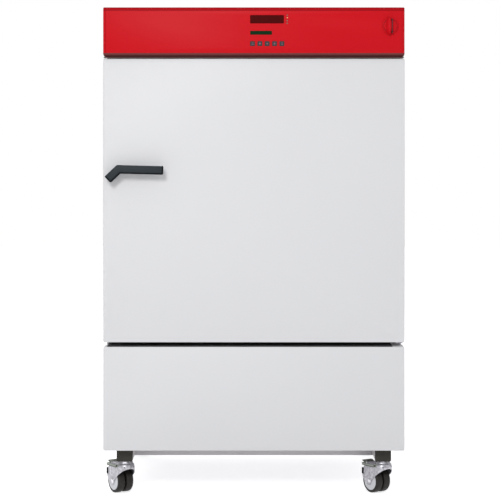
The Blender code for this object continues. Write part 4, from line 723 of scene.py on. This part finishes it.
def build_door():
    edge = sizes().panel_edge
    refine("door_shell", "white_paint", edge * 0.5)
    refine("door_inner_panel", "stainless", edge)
    refine("door_gasket", "seal_rubber", edge)
    refine("hinge_top", "zinc_plate", edge)
    refine("hinge_bottom", "zinc_plate", edge)
    refine("latch_keeper", "zinc_plate", edge * 0.5)
    refine("latch_finger", "zinc_plate", edge * 0.5)
    refine("door_handle", "handle_plastic", sizes().handle_edge * 0.3)
    build_handle_shade_rim()
    build_gap_strip()


def build_handle_shade_rim():
    """Black rim of painted shade along the lever's downward- and right-facing edges and its ends."""
    front = node_box("door_handle")[0].y
    mesh = merged_copy("door_handle")
    # Keep the faces that face down or to the right, where the shade falls
    gone = [face for face in mesh.faces
            if not (face.normal.z < -0.2 or face.normal.x > 0.3) or abs(face.normal.y) > 0.95
            or face.calc_center_median().y > front + RIM_DEPTH]
    bmesh.ops.delete(mesh, geom=gone, context="FACES")
    rim = dress("handle_shade_rim", mesh, "rubber_and_painted_shade", "door_handle")
    skin = rim.modifiers.new("skin", "SOLIDIFY")
    skin.thickness = RIM_THICK
    skin.offset = 1.0


def build_gap_strip():
    """Dark strip on the front frame and over the top of the lower panel, which darkens the gap under the door."""
    frame_face = node_box("front_frame")[0].y
    panel_face = node_box("lower_front_panel")[0].y
    panel_top = node_box("lower_front_panel")[1].z
    front = frame_face - 0.0032
    face = panel_face + 0.0006
    mesh = bmesh.new()
    add_block(mesh, (STRIP_X, frame_face - 0.0016, panel_top + 0.0062),
              (STRIP_LENGTH, 0.0030, 0.0120))
    add_block(mesh, (STRIP_X, (face + front) / 2, panel_top + 0.0014),
              (STRIP_LENGTH, front - face, 0.0028))
    round_edges(mesh, edges_of(mesh.verts), 0.0008, 2)
    dress("gap_strip", mesh, "seal_rubber", "front_frame")


def build_chamber():
    edge = sizes().panel_edge
    refine("inner_chamber", "stainless")
    refine("air_baffle", "stainless")
    refine("glass_door_frame", "stainless", edge)
    refine("glass_pane", pane_glass())
    build_rack("rack_lower")
    build_rack("rack_upper")
    refine("chamber_fan", "fins_metal")
    refine("chamber_fan_motor", "back_paint", edge)
    refine("evaporator", "fins_metal")
    refine("port_tube", "stainless")
    refine("port_plug", "silicone", edge * 0.6)


def build_rack(node):
    """Rack of round wires: a border with rounded corners, two cross bars and a row of wires."""
    low, high = node_box(node)
    border = min(0.0025, (high.z - low.z) / 2)
    wire = min(sizes().wire_radius, border)
    middle = (low + high) / 2
    span = high - low - Vector((2 * border, 2 * border, 0.0))
    mesh = bmesh.new()
    corner = 0.012
    for side in (-1, 1):
        x = middle.x + side * span.x / 2
        y = middle.y + side * span.y / 2
        add_rod(mesh, (x, middle.y, middle.z), border, span.y - 2 * corner, "Y", 12)
        add_rod(mesh, (middle.x, y, middle.z), border, span.x - 2 * corner, "X", 12)
        for across in (-1, 1):
            hub = Vector((x - side * corner, middle.y + across * (span.y / 2 - corner), middle.z))
            add_bend(mesh, hub, corner, border, Vector((side, 0.0, 0.0)),
                     Vector((0.0, across, 0.0)))
        add_rod(mesh, (middle.x, middle.y + side * span.y * 0.2, middle.z - border + wire), wire,
                span.x, "X", 12)
    for index in range(RACK_WIRES):
        x = middle.x - span.x / 2 + span.x * (index + 1) / (RACK_WIRES + 1)
        add_rod(mesh, (x, middle.y, middle.z + border - wire), wire, span.y, "Y", 12)
    dress(f"{node}_wires", mesh, "rack_wire", node, (node,))


def add_bend(mesh, hub, radius, thick, start, end):
    """Add a quarter bend of round wire about a hub, from one direction to the other."""
    axis = start.cross(end)
    ring = bmesh.ops.create_circle(mesh, segments=12, radius=thick,
                                   matrix=Matrix.Translation(hub + start * radius)
                                   @ end.to_track_quat("Z", "X").to_matrix().to_4x4())
    edges = edges_of(ring["verts"])
    bmesh.ops.spin(mesh, geom=ring["verts"] + edges, cent=hub, axis=axis, angle=math.pi / 2,
                   steps=8, use_duplicate=False)


def build_machine():
    refine("compressor", "pot_black", 0.002)
    refine("condenser", "fins_metal")
    refine("condenser_fan", "black_plastic", 0.0005)


def build_castors():
    for corner in ("fl", "fr", "rl", "rr"):
        refine(f"castor_{corner}_stem", "zinc_plate", 0.0005)
        build_hood(corner)
        build_hood_marks(corner)
        build_wheels(corner)
    for corner in ("fl", "fr"):
        build_pedal(corner)
        build_brake_arm(corner)


def castor_place(corner):
    """Matrix from a castor's own axes, along the axle, backwards and up, to the frame."""
    pin = Vector(joint_named(f"castor_{corner}_swivel")["pos_m"])
    axle = Vector(joint_named(f"wheel_{corner}_a_roll")["axis"]).normalized()
    place = Matrix((axle, UP.cross(axle), UP)).transposed().to_4x4()
    place.translation = (pin.x, pin.y, 0.0)
    return place


def local_pivot(place, joint):
    """Pivot of a joint in a castor's own axes."""
    return place.inverted() @ Vector(joint_named(joint)["pos_m"])


def between(points, value):
    """Straight-line value between listed (place, value) points."""
    for (start, low), (end, high) in zip(points, points[1:]):
        if value <= end:
            return low + (high - low) * (value - start) / (end - start)
    return points[-1][1]


def hood_point(path, rise):
    """Point of the hood's skin in the castor's axes.

    The path runs from one rear corner round the front to the other, from -1 to 1. The rise runs
    from the lower edge over the shoulder to the spine, from 0 to 1.
    """
    front_arc = HOOD_HALF * math.pi / 2
    length = abs(path) * (front_arc + HOOD_REAR)
    angle = min(length / HOOD_HALF, math.pi / 2)
    along = max(0.0, length - front_arc) - HOOD_HALF * math.cos(angle)
    across = HOOD_HALF * math.sin(angle)
    tail = max(0.0, (along - HOOD_REAR) / HOOD_CORNER + 1.0)
    across -= HOOD_CORNER * (1.0 - math.sqrt(max(0.0, 1.0 - tail * tail)))
    low = between(HOOD_LOWER_EDGE, along)
    top = HOOD_TOP
    if along > HOOD_BACK[0]:
        shift = along - HOOD_BACK[0]
        top = min(top, HOOD_BACK[1] + math.sqrt(HOOD_BACK[2] ** 2 - shift * shift))
    drop = min(HOOD_DROP, top - low)
    turn = min(1.0, max(0.0, (rise - 0.4) / 0.45)) * math.pi / 2
    height = low + (top - drop - low) * min(1.0, rise / 0.4) + drop * math.sin(turn)
    shrink = 1.0 - HOOD_INSET * (1.0 - math.cos(turn)) / HOOD_HALF
    across *= shrink * (1.0 - max(0.0, (rise - 0.85) / 0.15))
    along *= shrink if along < 0.0 else 1.0
    return Vector((math.copysign(across, path), along, height))


def build_hood(corner):
    """Pressed hood in the place of the fork: a bent sheet with the axle and the pedal's ears."""
    place = castor_place(corner)
    fork = f"castor_{corner}_fork"
    mesh = bmesh.new()
    bmesh.ops.create_grid(mesh, x_segments=84, y_segments=14, size=1.0)
    for vert in mesh.verts:
        vert.co = hood_point(vert.co.x, (vert.co.y + 1.0) / 2)
    bmesh.ops.remove_doubles(mesh, verts=mesh.verts, dist=1e-5)
    bmesh.ops.recalc_face_normals(mesh, faces=mesh.faces)
    bmesh.ops.solidify(mesh, geom=list(mesh.faces), thickness=HOOD_SHEET)
    axle = local_pivot(place, f"wheel_{corner}_a_roll")
    inner = HOOD_HALF - HOOD_SHEET
    add_rod(mesh, (0.0, axle.y, axle.z), 0.0040, 2 * inner + 0.0004, "X", 20)
    if corner in ("fl", "fr"):
        pivot = local_pivot(place, f"pedal_{corner}_lift")
        for side in (-1, 1):
            add_rod(mesh, (side * EAR_X, pivot.y, pivot.z), 0.0045, EAR_SHEET, "X", 24)
            add_block(mesh, (side * EAR_X, pivot.y - 0.0030, pivot.z - 0.0030),
                      (EAR_SHEET, 0.0084, 0.0084), Matrix.Rotation(math.radians(45.0), 4, "X"))
    bmesh.ops.transform(mesh, matrix=place, verts=mesh.verts)
    dress(f"castor_hood_{corner}", mesh, "zinc_plate", fork, (fork,), 50.0)


def build_hood_marks(corner):
    """Punched pips on the hood's brow, the cover over the ball race and the axle's heads."""
    place = castor_place(corner)
    fork = f"castor_{corner}_fork"
    pips = bmesh.new()
    for turn, reach, height, lean in HOOD_PIPS:
        matrix = place @ Matrix.Rotation(math.radians(turn), 4, "Z")
        matrix = matrix @ Matrix.Translation((0.0, -reach, height))
        matrix = matrix @ Matrix.Rotation(math.radians(90.0 - lean), 4, "X")
        bmesh.ops.create_uvsphere(pips, u_segments=16, v_segments=8, radius=0.0022,
                                  matrix=matrix @ Matrix.Diagonal((1.0, 1.0, 0.30, 1.0)))
    dress(f"hood_pips_{corner}", pips, "pip_grey", fork)
    cap = bmesh.new()
    turned_profile(cap, SWIVEL_CAP, place.translation, UP, Vector((1.0, 0.0, 0.0)), 48)
    dress(f"swivel_cap_{corner}", cap, "zinc_plate", fork)
    heads = bmesh.new()
    axle = local_pivot(place, f"wheel_{corner}_a_roll")
    for sign in (-1, 1):
        matrix = place @ Matrix.Translation((sign * (HOOD_HALF - 0.0002), axle.y, axle.z))
        bmesh.ops.create_uvsphere(heads, u_segments=24, v_segments=12, radius=0.0066,
                                  matrix=matrix @ Matrix.Diagonal((0.30, 1.0, 1.0, 1.0)))
    dress(f"axle_heads_{corner}", heads, "polished_zinc", fork)


def build_pedal(corner):
    """Brake pedal whose two lips widen behind the ears."""
    node = f"castor_{corner}_pedal"
    place = castor_place(corner)
    pivot = local_pivot(place, f"pedal_{corner}_lift")
    mesh = merged_copy(node)
    bmesh.ops.transform(mesh, matrix=place.inverted(), verts=mesh.verts)
    lips = [vert for vert in mesh.verts if vert.co.y > pivot.y + 0.0085]
    bmesh.ops.scale(mesh, verts=lips, vec=(1.3, 1.0, 1.0))
    bmesh.ops.transform(mesh, matrix=place, verts=mesh.verts)
    piece = dress(f"{node}_finish", mesh, "pedal_plastic", node, (node,))
    bevel = piece.modifiers.new("edge", "BEVEL")
    bevel.width = 0.0007
    bevel.segments = 2


def build_brake_arm(corner):
    """Brake arm along the hood's side, with its pivot boss, a dark strip of painted shade along its lower edge, a
    dark disc on the boss and the brake block.
    """
    place = castor_place(corner)
    side = -HOOD_HALF
    body = f"castor_{corner}"
    arm = bmesh.new()
    add_block(arm, (side - 0.0012, 0.0345, 0.0866), (0.0034, ARM_LENGTH, 0.0050))
    add_rod(arm, (side + 0.0004, *ARM_PIVOT), 0.0052, 0.0040, "X", 24)
    round_edges(arm, edges_of(arm.verts), 0.0005, 2)
    bmesh.ops.transform(arm, matrix=place, verts=arm.verts)
    finish_piece(f"brake_arm_{corner}", arm, "arm_grey", body)
    # Dark strip of painted shade under the arm, a dark disc on the boss, and the brake block
    dark = bmesh.new()
    add_block(dark, (side - 0.0013, 0.0350, 0.0834), (0.0036, ARM_LENGTH, 0.0016))
    add_rod(dark, (side - 0.0018, *ARM_PIVOT), 0.0030, 0.0010, "X", 20)
    add_block(dark, (side + 0.0006, 0.0622, 0.0640), (0.0034, 0.0086, 0.0190))
    round_edges(dark, edges_of(dark.verts), 0.0003, 1)
    bmesh.ops.transform(dark, matrix=place, verts=dark.verts)
    finish_piece(f"brake_block_and_shade_{corner}", dark, "rubber_and_painted_shade", body)


def build_wheels(corner):
    """Two wheels with rounded treads and light hub discs on their outer faces."""
    for label in ("a", "b"):
        node = f"castor_{corner}_wheel_{label}"
        joint = joint_named(f"wheel_{corner}_{label}_roll")
        axis = Vector(joint["axis"]).normalized()
        pivot = Vector(joint["pos_m"])
        centre = node_centre(node)
        outward = axis if (centre - pivot).dot(axis) > 0 else -axis
        shifts = [vert.co - pivot for vert in frame["nodes"][node].data.vertices]
        near = min(shift.dot(outward) for shift in shifts)
        far = max(shift.dot(outward) for shift in shifts) + TYRE_EXTRA
        radius = max((shift - outward * shift.dot(outward)).length for shift in shifts)
        mesh = bmesh.new()
        tread = radius - TREAD_ROUND
        profile = [(TYRE_FACE[-1][0], near), (tread, near)]
        profile += rounded_corner((tread, near + TREAD_ROUND), TREAD_ROUND, -90, 0, 5)
        profile += rounded_corner((tread, far - TREAD_ROUND), TREAD_ROUND, 0, 90, 5)
        profile += [(reach, far + rise) for reach, rise in TYRE_FACE]
        turned_profile(mesh, profile, pivot, outward, UP, sizes().wheel_sides)
        body = f"wheel_{corner}_{label}"
        finish_piece(body, mesh, "wheel_rubber", body, (node,))
        disc = bmesh.new()
        profile = [(reach, far + rise) for reach, rise in HUB_DISC]
        turned_profile(disc, profile, pivot, outward, UP, sizes().wheel_sides)
        finish_piece(f"hub_disc_{corner}_{label}", disc, "hub_plastic", body)


# Floor, light and camera


def floor_material():
    """Pale floor that the camera sees as white outside the object's shadow."""
    made, tree, shader, vector = new_material("studio_floor")
    mix_colours(tree, add_noise(tree, vector, 30.0), (0.92, 0.92, 0.92, 1.0),
                (0.94, 0.94, 0.94, 1.0), shader.inputs["Base Color"])
    paths = tree.nodes.new("ShaderNodeLightPath")
    seen = add_math(tree, "ADD", paths.outputs["Is Camera Ray"], paths.outputs["Is Glossy Ray"],
                    clamp=True)
    glow = add_math(tree, "MULTIPLY", seen, 0.62)
    feed(tree, shader, {"Roughness": 0.9, "Specular IOR Level": 0.0,
                        "Emission Color": (1.0, 1.0, 1.0, 1.0), "Emission Strength": glow})
    return made


def build_floor():
    mesh = bmesh.new()
    bmesh.ops.create_circle(mesh, cap_ends=True, segments=96, radius=14.0)
    data = bpy.data.meshes.new("studio_floor")
    mesh.to_mesh(data)
    mesh.free()
    data.materials.append(floor_material())
    floor = bpy.data.objects.new("studio_floor", data)
    bpy.context.scene.collection.objects.link(floor)


def build_world():
    """Even white surroundings, a little dimmer as light than as seen by the camera."""
    world = bpy.data.worlds.new("studio")
    bpy.context.scene.world = world
    world.use_nodes = True
    tree = world.node_tree
    tree.nodes.clear()
    out = tree.nodes.new("ShaderNodeOutputWorld")
    lit = tree.nodes.new("ShaderNodeBackground")
    feed(tree, lit, {"Color": (0.97, 0.98, 1.0, 1.0), "Strength": 0.60})
    seen = tree.nodes.new("ShaderNodeBackground")
    feed(tree, seen, {"Color": (1.0, 1.0, 1.0, 1.0), "Strength": 1.0})
    paths = tree.nodes.new("ShaderNodeLightPath")
    either = add_math(tree, "ADD", paths.outputs["Is Camera Ray"],
                      paths.outputs["Is Transmission Ray"], clamp=True)
    mix = tree.nodes.new("ShaderNodeMixShader")
    feed(tree, mix, {0: either, 1: lit.outputs["Background"], 2: seen.outputs["Background"]})
    feed(tree, out, {"Surface": mix.outputs["Shader"]})


def add_lamp(name, place, target, size, power):
    light = bpy.data.lights.new(name, "AREA")
    light.shape = "RECTANGLE"
    light.size, light.size_y = size
    light.energy = power
    lamp = bpy.data.objects.new(name, light)
    lamp.location = place
    lamp.rotation_mode = "QUATERNION"
    lamp.rotation_quaternion = (Vector(target) - Vector(place)).to_track_quat("-Z", "Y")
    bpy.context.scene.collection.objects.link(lamp)


def build_lamps():
    add_lamp("key_lamp", (-1.1, -5.1, 2.9), (0.0, -0.2, 0.9), (1.2, 1.2), 110.0)
    add_lamp("fill_lamp", (3.2, -3.8, 2.0), (0.0, -0.2, 0.8), (2.5, 2.5), 14.0)
    add_lamp("back_lamp", (-1.5, 4.0, 3.0), (0.0, 0.4, 0.9), (3.0, 2.0), 60.0)


def build_camera():
    """Level camera in front of the door, shifted as the photograph's framing needs."""
    door_face = node_box("door_shell")[0].y
    data = bpy.data.cameras.new("camera")
    data.sensor_width = 36.0
    data.lens = 112.7
    data.shift_x = -0.0077
    data.shift_y = -0.176
    camera = bpy.data.objects.new("camera", data)
    camera.location = (0.0, door_face - 4.8, 1.03)
    camera.rotation_euler = (math.pi / 2, 0.0, 0.0)
    bpy.context.scene.collection.objects.link(camera)
    bpy.context.scene.camera = camera


class INCUBATOR_OT_stage(Operator):
    """Make the floor, the surroundings, the lamps and the camera."""

    bl_idname = "incubator.stage"
    bl_label = "Stage"

    def execute(self, context):
        build_floor()
        build_world()
        build_lamps()
        build_camera()
        context.scene.view_settings.view_transform = "Standard"
        return {"FINISHED"}


class INCUBATOR_OT_cabinet(Operator):
    """Finish the housing, the panels and the base frame."""

    bl_idname = "incubator.cabinet"
    bl_label = "Cabinet"

    def execute(self, context):
        build_cabinet()
        return {"FINISHED"}


class INCUBATOR_OT_fascia(Operator):
    """Finish the control fascia with its displays, lamps and keys."""

    bl_idname = "incubator.fascia"
    bl_label = "Fascia"

    def execute(self, context):
        build_fascia()
        return {"FINISHED"}


class INCUBATOR_OT_knob(Operator):
    """Make the temperature limiter's knob."""

    bl_idname = "incubator.knob"
    bl_label = "Limiter Knob"

    def execute(self, context):
        build_knob()
        return {"FINISHED"}


class INCUBATOR_OT_door(Operator):
    """Finish the outer door, its hinges, handle and latch."""

    bl_idname = "incubator.door"
    bl_label = "Outer Door"

    def execute(self, context):
        build_door()
        return {"FINISHED"}


class INCUBATOR_OT_chamber(Operator):
    """Finish the chamber, the glass door, the racks and what stands behind the baffle."""

    bl_idname = "incubator.chamber"
    bl_label = "Chamber"

    def execute(self, context):
        build_chamber()
        return {"FINISHED"}


class INCUBATOR_OT_machine(Operator):
    """Finish the compressor, the condenser and its fan."""

    bl_idname = "incubator.machine"
    bl_label = "Refrigeration Set"

    def execute(self, context):
        build_machine()
        return {"FINISHED"}


class INCUBATOR_OT_castors(Operator):
    """Finish the castors' forks and pedals and make their wheels."""

    bl_idname = "incubator.castors"
    bl_label = "Castors"

    def execute(self, context):
        build_castors()
        return {"FINISHED"}


PIECES = (
    INCUBATOR_OT_cabinet,
    INCUBATOR_OT_fascia,
    INCUBATOR_OT_knob,
    INCUBATOR_OT_door,
    INCUBATOR_OT_chamber,
    INCUBATOR_OT_machine,
    INCUBATOR_OT_castors,
    INCUBATOR_OT_stage,
)


class INCUBATOR_PT_panel(Panel):
    """Sizes, colours and steps of the incubator."""

    bl_label = "Refrigerated Incubator"
    bl_idname = "INCUBATOR_PT_panel"
    bl_space_type = "VIEW_3D"
    bl_region_type = "UI"
    bl_category = "Incubator"

    def draw(self, context):
        column = self.layout.column()
        for group in (context.scene.incubator_sizes, context.scene.incubator_colours):
            for name in group.__annotations__:
                column.prop(group, name)
        for piece in PIECES:
            column.operator(piece.bl_idname)


CLASSES = (IncubatorSizes, IncubatorColours, *PIECES, INCUBATOR_PT_panel)


def register():
    for made in CLASSES:
        bpy.utils.register_class(made)
    bpy.types.Scene.incubator_sizes = PointerProperty(type=IncubatorSizes)
    bpy.types.Scene.incubator_colours = PointerProperty(type=IncubatorColours)


def unregister():
    del bpy.types.Scene.incubator_colours
    del bpy.types.Scene.incubator_sizes
    for made in reversed(CLASSES):
        bpy.utils.unregister_class(made)


def main():
    register()
    for piece in PIECES:
        group, name = piece.bl_idname.split(".")
        getattr(getattr(bpy.ops, group), name)()


if __name__ == "__main__":
    main()
